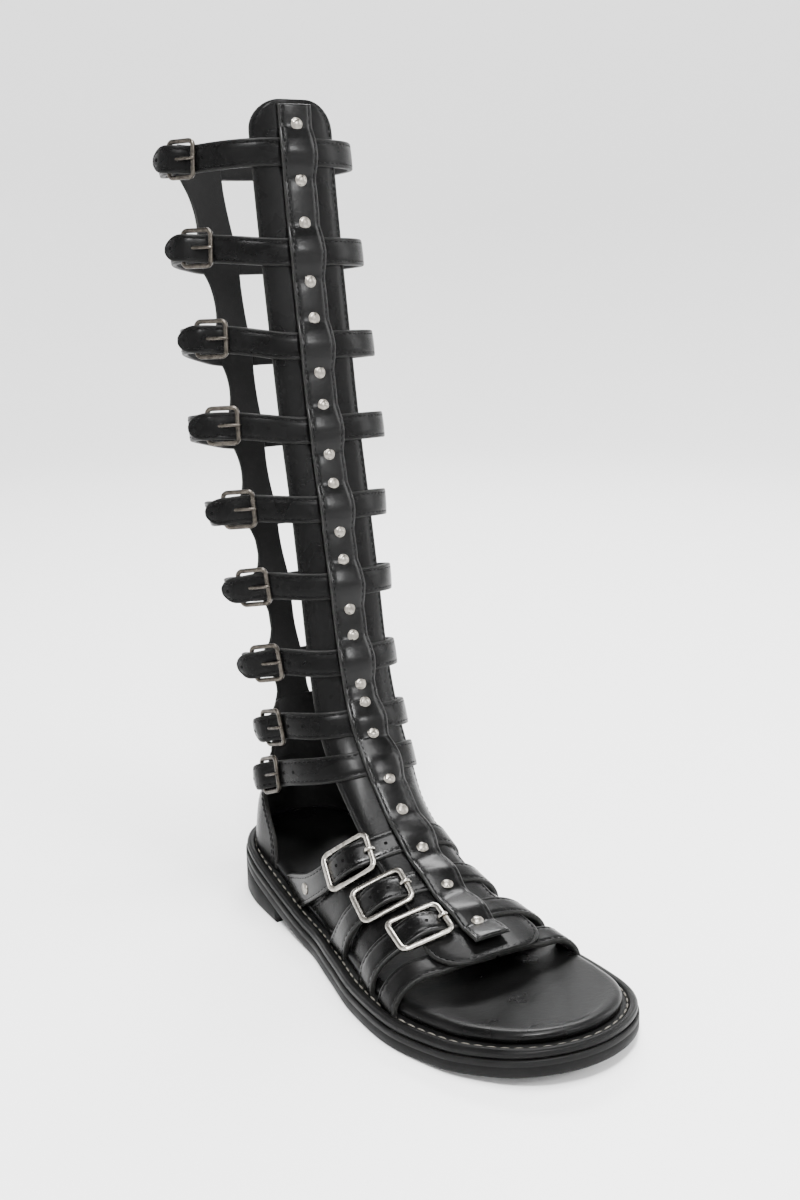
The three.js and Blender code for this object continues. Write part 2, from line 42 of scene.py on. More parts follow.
gap = 0.3  # between pieces that touch
strap = {"width": 13.0, "thick": 2.6, "inner": 0.6, "from": -168.0, "to": 188.0, "stitchIn": 1.9}
sole = {"length": 268.0, "heelEnd": 6.0, "outsole": 8.0, "midsole": 3.4, "insole": 5.5, "insoleInset": 7.4,
        "lift": 14.0, "spring": 7.0, "breast": -64.0, "ball": -108.0, "toeBreak": -188.0, "seat": -12.0}
soleRows = [  # share of the length from the heel, middle, half width
    (0, -7.5, 0), (0.05, -7.5, 26.5), (0.11, -8, 33.8), (0.18, -8.2, 36.4), (0.27, -8.3, 36.8),
    (0.39, -8.5, 36.8), (0.505, -6.7, 42.8), (0.62, -4.8, 49.3), (0.73, -2, 52), (0.844, 2, 48),
    (0.933, 4.7, 36.3), (1, 5, 0)]
legRows = [  # way down the front, y, z, tilt, half width outside, inside, depth
    (-13, -20, 393, 3, 41.5, 41, 92), (13, -22.4, 368, 3, 41.2, 41, 87),
    (58.7, -28.1, 322.5, 5, 41.3, 41, 71),
    (102.8, -34.9, 279, 7, 42.2, 41.5, 65), (142.9, -41.6, 239.5, 9, 43.8, 42, 62),
    (181, -50.4, 202.5, 11, 40.3, 37, 61),
    (218.5, -58.5, 166, 12, 35, 34, 59), (255.6, -66.8, 129.5, 14, 31.5, 31, 60),
    (286, -77.6, 101.5, 17, 29, 31, 68),
    (309, -91.5, 83.5, 20, 30.5, 29, 86), (328, -105, 69.5, 42, 36, 26, 92),
    (350, -122, 55.5, 70, 38.5, 28, 76),
    (376, -144.5, 43.4, 82, 42, 31.5, 57), (403, -170, 35.2, 88, 46, 38, 44),
    (431, -198, 29, 90, 48, 43.5, 36)]
# Way down the front, angles of the buckle, of where it pulls straight and of the fold behind, climb, run.
shaftStraps = [
    (13, 72, 55, 82.5, -2.1, 0), (58.7, 73.2, 55, 82.3, 3.2, 0), (102.8, 72.5, 55, 80.8, 5.6, 0),
    (142.9, 72, 55, 79.7, 5.4, 0), (181, 71.5, 55, 80.3, 4.3, 0), (218.5, 74, 55, 84.3, 4.3, 0),
    (255.6, 75.2, 55, 87.7, 4.8, 0), (286, 88, 70, 104.5, 3.4, 0), (308, 101, 70, 116, 2, 14)]
# Name, way down the front, run back outside and inside, half width at the sole outside and inside,
# buckle angle.
footStraps = [
    ("A", 350, 17, 12, 9, 10, 45), ("B", 376, 14, 5, 11, 10.5, 46.5), ("C", 403, 8, 2, 10.5, 11, 48),
    ("D", 423, 8, 1, 11.5, 11, 0)]
counterRows = [  # height, middle, back, half width, front edge
    (18, -7.5, -3, 29, -51), (35, -7, -4, 28, -47), (46, -7, -5, 26.5, -37), (58, -6.5, -9, 24, -26),
    (76, -5.5, -12.5, 20.5, -23), (100, -4.5, -11.5, 17, -19)]
backRows = [  # way down, middle, half width
    (3, -12.5, 10.5), (40, -12.5, 9.5), (70, -12.1, 8.3), (112, -11.3, 7.4), (154, -11.2, 7.4),
    (195, -9.5, 6.8),
    (234, -7.8, 6.6), (262, -7, 8), (298, -5.5, 15)]
rivetStations = [0, 26, 45.6, 72.8, 90.2, 115.8, 131.5, 155.2, 169.8, 192.8, 206.8, 230.4, 243.5, 267.6,
                 277.5,
                 294.2, 318.5, 335.4, 358.6, 384.2, 411.4]


def smooth(low, high, x):
    k = np.clip((x - low) / (high - low), 0, 1)
    return k * k * (3 - 2 * k)


def curveOf(rows, column):  # a curve through one column, with no overshoot between rows
    xs = np.array([row[0] for row in rows], float)
    ys = np.array([row[column] for row in rows], float)
    slope = np.diff(ys) / np.diff(xs)
    tangent = np.zeros(len(xs))
    tangent[0], tangent[-1] = slope[0], slope[-1]
    for i in range(1, len(xs) - 1):
        if slope[i - 1] * slope[i] > 0:
            tangent[i] = 2 * slope[i - 1] * slope[i] / (slope[i - 1] + slope[i])

    def value(x):
        x = np.asarray(x, float)
        i = np.clip(np.searchsorted(xs, x, side="right") - 1, 0, len(xs) - 2)
        h = xs[i + 1] - xs[i]
        k = (x - xs[i]) / h
        inside = ((1 + 2 * k) * (1 - k) ** 2 * ys[i] + k * (1 - k) ** 2 * h * tangent[i]
                  + k * k * (3 - 2 * k) * ys[i + 1] - k * k * (1 - k) * h * tangent[i + 1])
        before = ys[i] + tangent[i] * (x - xs[i])
        after = ys[i + 1] + tangent[i + 1] * (x - xs[i + 1])
        return np.where(k < 0, before, np.where(k > 1, after, inside))
    return value


def unit(v):
    return v / np.maximum(np.linalg.norm(v, axis=-1, keepdims=True), 1e-12)


def hexColour(code):
    value = [int(code[i:i + 2], 16) / 255 for i in (1, 3, 5)]
    return [c / 12.92 if c <= 0.04045 else ((c + 0.055) / 1.055) ** 2.4 for c in value] + [1.0]


def addNode(tree, kind, settings=None, inputs=None):
    node = tree.nodes.new(kind)
    for key, value in (settings or {}).items():
        setattr(node, key, value)
    for key, value in (inputs or {}).items():
        socket = node.inputs[key]
        if isinstance(value, bpy.types.NodeSocket):
            tree.links.new(value, socket)
        else:
            socket.default_value = value
    return node


def newMaterial(name, shader):
    material = bpy.data.materials.new(name)
    material.use_nodes = True
    tree = material.node_tree
    tree.nodes.clear()
    principled = addNode(tree, "ShaderNodeBsdfPrincipled", None, shader)
    addNode(tree, "ShaderNodeOutputMaterial", None, {"Surface": principled.outputs[0]})
    place = addNode(tree, "ShaderNodeTexCoord")
    return material, tree, principled, place.outputs["Object"]


def mixColour(tree, share, low, high):
    node = addNode(tree, "ShaderNodeMix", {"data_type": "RGBA"}, {0: share})
    for socket, value in ((node.inputs[6], low), (node.inputs[7], high)):
        if isinstance(value, bpy.types.NodeSocket):
            tree.links.new(value, socket)
        else:
            socket.default_value = value
    return node.outputs[2]


def spread(tree, value, low, high, start=0.3, end=0.7):  # moves a 0-1 pattern to a range
    return addNode(tree, "ShaderNodeMapRange", None,
                   {"Value": value, "From Min": start, "From Max": end, "To Min": low,
                    "To Max": high}).outputs[0]


def bumpFrom(tree, principled, height, distance, strength=1.0, normal=None):
    inputs = {"Height": height, "Distance": distance, "Strength": strength}
    if normal is not None:
        inputs["Normal"] = normal
    node = addNode(tree, "ShaderNodeBump", None, inputs)
    tree.links.new(node.outputs[0], principled.inputs["Normal"])
    return node.outputs[0]


def noise(tree, place, scale, detail, distortion=0.0):
    return addNode(tree, "ShaderNodeTexNoise", None,
                   {"Vector": place, "Scale": scale, "Detail": detail, "Distortion": distortion}).outputs[0]


# Corrected-grain cowhide, sprayed black and polished: a soft even gloss over fine pores,
# and a lighter grey painted highlight along the rounded cut edges.
def boxCalf(name, colour, edgeHighlightColour, roughness, gloss, coat, grain=0.75):
    material, tree, principled, place = newMaterial(name, {"IOR": 1.5, "Specular IOR Level": gloss,
            "Coat Weight": coat, "Coat Roughness": 0.16})
    # mask of the painted highlight along the rounded cut edges
    edge = addNode(tree, "ShaderNodeAttribute", {"attribute_name": "edgeHighlight"}).outputs["Fac"]
    cloud = noise(tree, place, 45.0, 4.0)
    cells = addNode(tree, "ShaderNodeTexVoronoi", {"feature": "DISTANCE_TO_EDGE"},
                    {"Vector": place, "Scale": 1000 / grain}).outputs["Distance"]
    crease = noise(tree, place, 260.0, 3.0, 1.2)
    body = mixColour(tree, spread(tree, cloud, 0.0, 1.0), hexColour(colour[0]), hexColour(colour[1]))
    # painted highlight along the cut edges: two lighter greys, varied at random
    rimTone = noise(tree, place, 1900.0, 2.0)
    rimHighlight = mixColour(tree, spread(tree, rimTone, 0.0, 1.0), hexColour(edgeHighlightColour[0]), hexColour(edgeHighlightColour[1]))
    tree.links.new(mixColour(tree, edge, body, rimHighlight), principled.inputs["Base Color"])
    polish = spread(tree, cloud, roughness - 0.05, roughness + 0.07)
    worn = addNode(tree, "ShaderNodeMath", {"operation": "MULTIPLY_ADD"},
                   {0: edge, 1: 0.2, 2: polish}).outputs[0]
    tree.links.new(worn, principled.inputs["Roughness"])
    pores = bumpFrom(tree, principled, spread(tree, cells, 0.0, 1.0, 0.0, 0.14), 0.00003, 0.55)
    bumpFrom(tree, principled, crease, 0.00016, 0.5, pores)
    return material


# Flesh side of the same hide: a short dull nap.
def suedeBack():
    material, tree, principled, place = newMaterial("fleshSideSuede",
            {"IOR": 1.45, "Specular IOR Level": 0.2, "Roughness": 0.93, "Sheen Weight": 0.03})
    nap = noise(tree, place, 1300.0, 4.0)
    patch = noise(tree, place, 90.0, 3.0)
    fleck = mixColour(tree, spread(tree, nap, 0.0, 1.0, 0.62, 0.78), hexColour("#050505"),
                      hexColour("#1d1c1b"))
    tree.links.new(mixColour(tree, spread(tree, patch, 0.0, 0.6), fleck, hexColour("#030303")),
                   principled.inputs["Base Color"])
    bumpFrom(tree, principled, nap, 0.0003, 0.7)
    return material


# Waxed polyester thread: twisted, so it catches small broken lights.
def waxedThread(name, colour):
    material, tree, principled, place = newMaterial(name, {"IOR": 1.5, "Specular IOR Level": 0.08,
            "Roughness": 0.6})
    twist = noise(tree, place, 2600.0, 1.0)
    tree.links.new(mixColour(tree, twist, hexColour(colour[0]), hexColour(colour[1])),
                   principled.inputs["Base Color"])
    bumpFrom(tree, principled, twist, 0.00015, 0.6)
    return material


# Moulded nitrile rubber: matt, slightly dusty, with a faint mould texture.
def mouldedRubber(name, colour, roughness):
    material, tree, principled, place = newMaterial(name, {"IOR": 1.5, "Specular IOR Level": 0.09})
    dust = noise(tree, place, 60.0, 5.0)
    speck = noise(tree, place, 1500.0, 2.0)
    tree.links.new(mixColour(tree, spread(tree, dust, 0.0, 1.0), hexColour(colour[0]), hexColour(colour[1])),
                   principled.inputs["Base Color"])
    tree.links.new(spread(tree, dust, roughness - 0.06, roughness + 0.1), principled.inputs["Roughness"])
    bumpFrom(tree, principled, speck, 0.0001, 0.5)
    return material


# Cast and plated zinc, brushed in a tumbler, with darker tarnish in random patches.
def platedMetal(name, colour, roughness, tarnish):
    material, tree, principled, place = newMaterial(name, {"Metallic": 1.0})
    stain = noise(tree, place, 420.0, 4.0)
    scratch = noise(tree, place, 2400.0, 2.0)
    tone = mixColour(tree, spread(tree, stain, 0.0, tarnish, 0.45, 0.7), hexColour(colour[0]),
                     hexColour(colour[1]))
    tree.links.new(tone, principled.inputs["Base Color"])
    tree.links.new(spread(tree, stain, roughness, roughness + 0.2), principled.inputs["Roughness"])
    bumpFrom(tree, principled, scratch, 0.00004, 0.6)
    return material


# the second pair of colours in each is the painted highlight along the cut edges
calf = boxCalf("boxCalfBlack", ("#050505", "#0a0a0a"), ("#232322", "#0e0e0e"), 0.26, 0.055, 0.025)
patentCalf = boxCalf("polishedCalfBlack", ("#040404", "#080808"), ("#232322", "#0e0e0e"), 0.2, 0.13, 0.05)
liningCalf = boxCalf("insoleGlazedCalf", ("#050505", "#0a0a0a"), ("#121212", "#0c0c0c"), 0.3, 0.09, 0.03, 0.9)
suede = suedeBack()
blackThread = waxedThread("waxedThreadBlack", ("#010101", "#060606"))
greyThread = waxedThread("waxedThreadGrey", ("#2a2926", "#75726b"))
soleRubber = mouldedRubber("nitrileRubberBlack", ("#080808", "#121212"), 0.5)
weltRubber = mouldedRubber("weltRubberBlack", ("#060606", "#0e0e0e"), 0.4)
pewter = platedMetal("antiquePewter", ("#4a4641", "#1b1917"), 0.24, 0.8)
nickel = platedMetal("polishedNickel", ("#aaa69f", "#3f3c38"), 0.14, 0.6)
rivetSteel = platedMetal("rivetNickel", ("#85817a", "#3c3935"), 0.2, 0.5)
# punched holes: a matt near-black disc of painted shade stands in for each hole's shaded opening
holeShade = mouldedRubber("punchedHoleShade", ("#020202", "#050505"), 0.9)
print("materials made")

# Leather and metal bodies from rows of points.


def newPiece(name, points, faces, materials, slots=None, values=None):
    points = np.asarray(points, float)
    triangles = []
    for face in faces:
        triangles += [(face[0], face[i], face[i + 1]) for i in range(1, len(face) - 1)]
    corner = points[np.array(triangles)]
    volume = np.einsum("ij,ij->", corner[:, 0], np.cross(corner[:, 1], corner[:, 2]))
    if volume < 0:
        faces = [tuple(reversed(face)) for face in faces]
    mesh = bpy.data.meshes.new(name)
    mesh.from_pydata((points * 0.001).tolist(), [], [tuple(int(i) for i in face) for face in faces])
    for material in materials:
        mesh.materials.append(material)
    if slots is not None:
        mesh.polygons.foreach_set("material_index", np.asarray(slots, np.int32))
    mesh.polygons.foreach_set("use_smooth", [True] * len(faces))
    if values is not None:
        # mask for the painted highlight along the cut edges
        attribute = mesh.attributes.new("edgeHighlight", "FLOAT", "POINT")
        attribute.data.foreach_set("value", np.asarray(values, np.float32))
    mesh.update()
    piece = bpy.data.objects.new(name, mesh)
    scene.collection.objects.link(piece)
    return piece


def joinShells(shells):  # several closed shells as one list of points and faces
    points, faces, slots, values, count = [], [], [], [], 0
    for shell in shells:
        points.append(shell["points"])
        faces += [tuple(i + count for i in face) for face in shell["faces"]]
        slots += shell["slots"]
        values.append(shell["values"])
        count += len(shell["points"])
    return np.concatenate(points), faces, slots, np.concatenate(values)


def turnedOut(points, faces):
    total = 0.0
    for face in faces:
        a = points[face[0]]
        for i in range(1, len(face) - 1):
            total += np.dot(a, np.cross(points[face[i]], points[face[i + 1]]))
    return faces if total > 0 else [tuple(reversed(face)) for face in faces]


def faceOut(at, u, a):  # outward direction of a surface at(u, a), a in millimetres across
    step = 1e-2
    point, middle = at(u, a)
    du = at(u + step, a)[0] - at(u - step, a)[0]
    da = at(u, a + step)[0] - at(u, a - step)[0]
    out = unit(np.cross(du, da))
    side = np.sign(np.sum(out * (point - middle), axis=-1, keepdims=True))
    return point, out * np.where(side == 0, 1, side)


def sampled(value, us):  # a fixed size or a function along the band, at each station
    return value(us) if callable(value) else np.full(len(us), float(value))


def leatherShell(at, us, half, inner, outer, middle=0.0, rim=0.75, groove=1.9, crown=0.0, cols=4,
                 tapers=(False, False)):
    us = np.asarray(us, float)
    both = sampled(half, us)
    left, right = both if isinstance(both, tuple) else (both, both)
    low = sampled(inner, us)
    high = sampled(outer, us)
    thick = high - low
    thin = np.ones(len(us))
    for end, wanted in enumerate(tapers):
        if wanted:  # the cut end is a little rounded
            for k, share in enumerate((0.35, 0.75, 0.94)):
                thin[k if end == 0 else -1 - k] = share
    centre = sampled(middle, us)
    rounds = [(0.0, 1.0), (0.134, 0.5), (0.5, 0.134), (1.0, 0.0)]  # quarter circle, share in and share down
    # each rim column carries a share of the painted edge highlight
    edge = [(rim * a, rim * b, rimHighlight) for (a, b), rimHighlight in zip(rounds, (1.0, 1.0, 1.0, 0.25))]
    if groove:
        edge += [(groove - 0.5, 0.0, 0.0), (groove, 0.22, 0.0), (groove + 0.5, 0.0, 0.0)]
    last = edge[-1][0]
    columns = [(-1, inward, down, rimHighlight) for inward, down, rimHighlight in edge]
    inside = [(k + 1) / (cols + 1) for k in range(cols)]
    top = columns + [(0, share, 0.0, 0.0) for share in inside] + [(1, i, d, c) for _, i, d,
            c in reversed(columns)]
    plain = [(-1, rim * a, rim * b, c) for (a, b), c in zip(rounds, (1, 1, 0.6, 0))]
    under = plain + [(0, share, 0.0, 0.0) for share in inside] + [(1, i, d, c) for _, i, d,
            c in reversed(plain)]
    across, offset, rimHighlights = [], [], []
    for side, columnsOf in ((1, top), (-1, list(reversed(under)))):
        for where, inward, down, rimHighlight in columnsOf:
            room = np.minimum(1.0, (left if where <= 0 else right) / (last + 0.6))
            if where == -1:
                a = -left + inward * room
            elif where == 1:
                a = right - inward * room
            else:
                a0 = -left + last * np.minimum(1, left / (last + 0.6))
                a1 = right - last * np.minimum(1, right / (last + 0.6))
                a = a0 + (a1 - a0) * inward
            drop = np.minimum(down, thick * 0.45)
            rise = crown * (1 - np.clip(a / np.maximum((left + right) / 2, 0.1), -1,
                                        1) ** 2) if side == 1 else 0
            h = high - drop + rise if side == 1 else low + drop
            mid = (low + high) / 2
            across.append(a + centre)
            offset.append(mid + (h - mid) * thin)
            rimHighlights.append(rimHighlight)
    a = np.stack(across, 1)
    o = np.stack(offset, 1)
    rows, count = a.shape
    u = np.repeat(us[:, None], count, 1)
    point, out = faceOut(at, u, a)
    points = (point + out * o[..., None]).reshape(-1, 3)
    faces, slots = [], []
    topCount = len(top)
    for i in range(rows - 1):
        for j in range(count):
            k = (j + 1) % count
            faces.append((i * count + j, i * count + k, (i + 1) * count + k, (i + 1) * count + j))
            slots.append(1 if topCount + 2 <= j < count - 3 else 0)
    for i in (0, rows - 1):  # the two cut ends, top edge to bottom edge
        ring = [i * count + j for j in range(count)]
        faces.append(tuple(ring) if i else tuple(reversed(ring)))
        slots.append(0)
    # painted edge highlight mask: on the rims and at the rounded cut ends
    values = np.tile(np.array(rimHighlights, float), rows)
    values = np.maximum(values, np.repeat(1 - thin, count))
    return {"points": points, "faces": turnedOut(points, faces), "slots": slots, "values": values}


def lineOn(at, us, across, offset):  # a run of points on a surface
    us = np.asarray(us, float)
    a = np.broadcast_to(np.asarray(across(us) if callable(across) else across, float), us.shape)
    o = np.broadcast_to(np.asarray(offset(us) if callable(offset) else offset, float), us.shape)
    point, out = faceOut(at, us, a)
    return point + out * o[:, None]


# The leg's surface, which every band lies on.
legY, legZ, legTilt, legLat, legMed, legDeep = (curveOf(legRows, k) for k in range(1, 7))
legPower = 2.35


def place(s, x, back):
    tilt = np.radians(legTilt(s))
    x, back = np.broadcast_arrays(x, back)
    return np.stack([x, legY(s) + back * np.cos(tilt), legZ(s) - back * np.sin(tilt)], -1)


def legPoint(s, turn):  # round the section: 0 in front, positive on the inner side
    s, turn = np.broadcast_arrays(np.asarray(s, float), np.asarray(turn, float))
    half = np.where(turn < 0, legLat(s), legMed(s))
    radius = legDeep(s) / 2
    sine, cosine = np.sin(np.radians(turn)), np.cos(np.radians(turn))
    reach = (np.abs(sine / half) ** legPower + np.abs(cosine / radius) ** legPower) ** (-1 / legPower)
    return place(s, reach * sine, radius - reach * cosine), place(s, 0 * s, radius)


def facePoint(s, x, side):  # on the front (-1) or back (1) of the section
    s, x = np.broadcast_arrays(np.asarray(s, float), np.asarray(x, float))
    half = np.where(x < 0, legLat(s), legMed(s))
    bow = (1 - np.minimum(np.abs(x / half), 1) ** legPower) ** (1 / legPower)
    return place(s, x, legDeep(s) / 2 * (1 + side * bow)), place(s, 0 * s, legDeep(s) / 2)


def alongRoute(route, ground=legPoint):  # a band along a route u -> (s, turn), straight across
    def at(u, a):
        step = 1e-2
        s, turn = route(u)
        here, middle = ground(s, turn)
        path = unit(ground(*route(u + step))[0] - ground(*route(u - step))[0])
        wide = ground(s + step, turn)[0] - ground(s - step, turn)[0]
        wide = unit(wide - path * np.sum(wide * path, -1, keepdims=True))
        return here + wide * np.asarray(a)[..., None], middle
    return at


def legOut(s, turn):
    step = 1e-2
    point, middle = legPoint(s, turn)
    round_ = legPoint(s, turn + step)[0] - legPoint(s, turn - step)[0]
    down = legPoint(s + step, turn)[0] - legPoint(s - step, turn)[0]
    out = unit(np.cross(round_, down))
    return point, out * np.sign(np.sum(out * (point - middle), -1, keepdims=True)), middle


def pulledStraight(flat, hinge, curl=15.0):  # the front part: off along a straight line, its tip curling in
    def ground(s, turn):
        s, turn = np.broadcast_arrays(np.asarray(s, float), np.asarray(turn, float))
        point, middle = legPoint(s, np.maximum(turn, -flat))
        ahead = legPoint(s, -flat - 0.5)[0] - legPoint(s, -flat + 0.5)[0]
        far = np.maximum(-flat - turn, 0)[..., None]
        past = np.maximum(far * np.linalg.norm(ahead, axis=-1, keepdims=True) - hinge, 0)
        return point + ahead * far - legOut(s, np.full(s.shape, -flat))[1] * past ** 2 / (2 * curl), middle
    return ground


def foldedBack(flat, fold):  # the back part: from the fold behind the buckle, in to the back band
    def ground(s, turn):
        s, turn = np.broadcast_arrays(np.asarray(s, float), np.asarray(turn, float))
        leave, leaveOut, _ = legOut(s, np.full(s.shape, -flat))
        point, out, middle = legOut(s, turn)

        def pulled(p, n):
            return np.sum((leave - p) * leaveOut, -1) / np.maximum(np.sum(n * leaveOut, -1), 0.2)
        foldPoint, foldOut, _ = legOut(s, np.full(s.shape, -fold))
        behind = pulled(foldPoint, foldOut) * (1 - smooth(fold, fold + 50, -turn))
        off = np.where(turn > -flat, 0, np.where(turn > -fold, pulled(point, out), behind))
        return point + out * off[..., None], middle
    return ground


def reachOf(at, us):  # distance along the middle of a band, and its inverse
    line = at(us, np.zeros(len(us)))[0]
    run = np.concatenate([[0], np.cumsum(np.linalg.norm(np.diff(line, axis=0), axis=1))])
    return (lambda u: np.interp(u, us, run)), (lambda d: np.interp(d, run, us))


stitchRuns = []  # black edge stitching, collected from every band
holeSpots = []  # punched holes: place, facing
upperPieces = []


def spotOn(at, u, height, a=0.0):  # a point over a band and the way it faces
    point, out = faceOut(at, np.array([float(u)]), np.array([float(a)]))
    return point[0] + out[0] * float(height), out[0]


def edgeStitches(at, us, half, outer, inset, middle=0.0):
    both = sampled(half, us)
    left, right = both if isinstance(both, tuple) else (both, both)
    centre = sampled(middle, us)
    level = sampled(outer, us) - 0.08
    for a in (centre - left + inset, centre + right - inset):
        point, out = faceOut(at, us, a)
        stitchRuns.append(point + out * level[:, None])


# Sole, welt and insole.
soleMid, soleHalf = (curveOf([(math.acos(1 - 2 * t), m, h) for t, m, h in soleRows], k) for k in (1, 2))


def rise(y):
    return sole["lift"] * smooth(sole["ball"], sole["seat"], y)


def toeLift(y):
    start = sole["toeBreak"]
    return sole["spring"] * np.clip((start - y) / (start - sole["heelEnd"] + sole["length"]), 0, 1) ** 2


def outsoleTop(y):
    return sole["outsole"] + rise(y) + toeLift(y)


def midsoleTop(y):
    return outsoleTop(y) + gap + sole["midsole"]


def soleOutline(count):  # points round the sole, evenly spaced, with their inward directions
    turn = np.linspace(0, 2 * np.pi, 1441)
    half = np.where(turn <= np.pi, turn, 2 * np.pi - turn)
    side = np.where(turn <= np.pi, -1, 1)
    y = sole["heelEnd"] - sole["length"] * (1 - np.cos(half)) / 2
    x = soleMid(half) + side * soleHalf(half)
    loop = np.stack([x, y], 1)
    run = np.concatenate([[0], np.cumsum(np.linalg.norm(np.diff(loop, axis=0), axis=1))])
    want = np.arange(count) * run[-1] / count
    even = np.stack([np.interp(want, run, x), np.interp(want, run, y)], 1)
    ahead = unit(np.roll(even, -2, 0) - np.roll(even, 2, 0))
    inward = np.stack([-ahead[:, 1], ahead[:, 0]], 1)
    return even, inward


outlinePoints, outlineIn = soleOutline(420)


def insetLoop(inset):
    return outlinePoints + outlineIn * inset


def ringStack(rings):  # closed body from rings of points, its first and last drawn in to a seam
    count = len(rings[0])
    points = np.concatenate(rings)
    faces = []
    for i in range(len(rings) - 1):
        for j in range(count):
            k = (j + 1) % count
            faces.append((i * count + j, i * count + k, (i + 1) * count + k, (i + 1) * count + j))
    return points, faces


def soleRing(inset, height, share=1.0):
    loop = insetLoop(inset)
    y = np.clip(loop[:, 1], sole["heelEnd"] - sole["length"], sole["heelEnd"])
    spine = np.interp(y, outlineSpineY, outlineSpineX)
    x = spine + (loop[:, 0] - spine) * share
    return np.stack([x, loop[:, 1], height(loop[:, 1])], 1)


spineTurn = np.linspace(0.02, np.pi - 0.02, 200)
outlineSpineY = (sole["heelEnd"] - sole["length"] * (1 - np.cos(spineTurn)) / 2)[::-1]
outlineSpineX = soleMid(spineTurn)[::-1]


def closeSeams(piece, distance=0.00002):
    body = bmesh.new()
    body.from_mesh(piece.data)
    bmesh.ops.remove_doubles(body, verts=body.verts, dist=distance)
    bmesh.ops.dissolve_degenerate(body, dist=distance, edges=body.edges)
    bmesh.ops.recalc_face_normals(body, faces=body.faces)
    body.to_mesh(piece.data)
    body.free()
    piece.data.polygons.foreach_set("use_smooth", [True] * len(piece.data.polygons))


outsoleProfile = {"edge": 1.1, "lineAt": 4.9, "lineDeep": 0.55, "lineHalf": 0.45}


def makeOutsole():
    p = outsoleProfile
    under = lambda y: rise(y) + toeLift(y)
    at = lambda h: (lambda y: under(y) + h)
    rings = [soleRing(p["edge"], under, share) for share in (0.0, 0.3, 0.6, 0.85, 1.0)]
    rings += [soleRing(0.3, at(0.35)), soleRing(0.0, at(1.1))]
    rings += [soleRing(0.0, at(p["lineAt"] - p["lineHalf"])), soleRing(p["lineDeep"], at(p["lineAt"])),
              soleRing(0.0, at(p["lineAt"] + p["lineHalf"]))]
    rings += [soleRing(0.0, at(7.2)), soleRing(0.25, at(7.75)), soleRing(0.9, outsoleTop)]
    rings += [soleRing(0.9, outsoleTop, share) for share in (0.85, 0.6, 0.3, 0.0)]
    points, faces = ringStack(rings)
    body = newPiece("outsoleBody", points, faces, [soleRubber])
    closeSeams(body)
    return body


def makeHeelBlock():
    keep = outlinePoints[:, 1] > sole["breast"]
    order = np.argsort((np.arange(len(keep)) - np.argmin(outlinePoints[:, 1])) % len(keep))
    index = [i for i in order if keep[i]]
    loops = []
    for inset, z in ((2.0, 0.0), (0.7, 0.0), (0.15, 0.5), (0.0, 1.4), (0.0, None), (3.0, None)):
        loop = insetLoop(inset)[index]
        loop[:, 1] = np.maximum(loop[:, 1], sole["breast"])
        height = rise(loop[:, 1]) + 0.4 if z is None else np.full(len(loop), z)
        ring = np.stack([loop[:, 0], loop[:, 1], height], 1)
        front = np.linspace(ring[-1], ring[0], 14)[1:-1]
        bow = np.sin(np.linspace(0, np.pi, 14))[1:-1] * 3.5  # the breast is cut a little hollow
        front[:, 1] += bow
        if z is None:
            front[:, 2] = rise(front[:, 1]) + 0.4
        loops.append(np.concatenate([ring, front]))
    middle = np.array([soleMid(1.0), sole["breast"] / 2 - 4])
    firstRing, lastRing = loops[0].copy(), loops[-1].copy()
    for share in (0.5, 0.02):
        ring = firstRing.copy()
        ring[:, :2] = middle + (firstRing[:, :2] - middle) * share
        loops.insert(0, ring)
    for share in (0.5, 0.02):
        ring = lastRing.copy()
        ring[:, :2] = middle + (lastRing[:, :2] - middle) * share
        ring[:, 2] = rise(ring[:, 1]) + 0.4
        loops.append(ring)
    points, faces = ringStack(loops)
    count = len(loops[0])
    faces.append(tuple(range(count)))
    faces.append(tuple(reversed([len(points) - count + j for j in range(count)])))
    block = newPiece("heelBlock", points, faces, [soleRubber])
    closeSeams(block)
    return block


weltGroove = {"at": 5.3, "half": 0.7, "deep": 0.6, "bead": 2.9, "beadHalf": 1.5, "beadHigh": 0.7}


def makeMidsole():
    g = weltGroove
    low = lambda y: outsoleTop(y) + gap * 0.2
    at = lambda h: (lambda y: midsoleTop(y) + h)
    rings = [soleRing(1.6, low, share) for share in (0.0, 0.3, 0.6, 0.85, 1.0)]
    rings += [soleRing(1.1, lambda y: low(y) + 0.5), soleRing(0.75, lambda y: low(y) + 1.3)]
    rings += [soleRing(0.75, at(-0.9)), soleRing(1.0, at(-0.3)), soleRing(1.6, at(0.0))]
    rings += [soleRing(g["bead"] + g["beadHalf"] * k, at(g["beadHigh"] * math.sqrt(1 - k * k)))
              for k in (-0.9, -0.6, -0.25, 0.25, 0.6, 0.9)]
    lip, floorHalf = g["half"] + 0.2, g["half"] * 0.4
    rings += [soleRing(g["at"] - lip, at(0.0)), soleRing(g["at"] - floorHalf, at(-g["deep"])),
              soleRing(g["at"] + floorHalf, at(-g["deep"])), soleRing(g["at"] + lip, at(0.0)),
              soleRing(10.0, at(0.0))]
    rings += [soleRing(10.0, at(0.0), share) for share in (0.85, 0.6, 0.3, 0.0)]
    points, faces = ringStack(rings)
    welt = newPiece("weltRand", points, faces, [weltRubber])
    closeSeams(welt)
    return welt


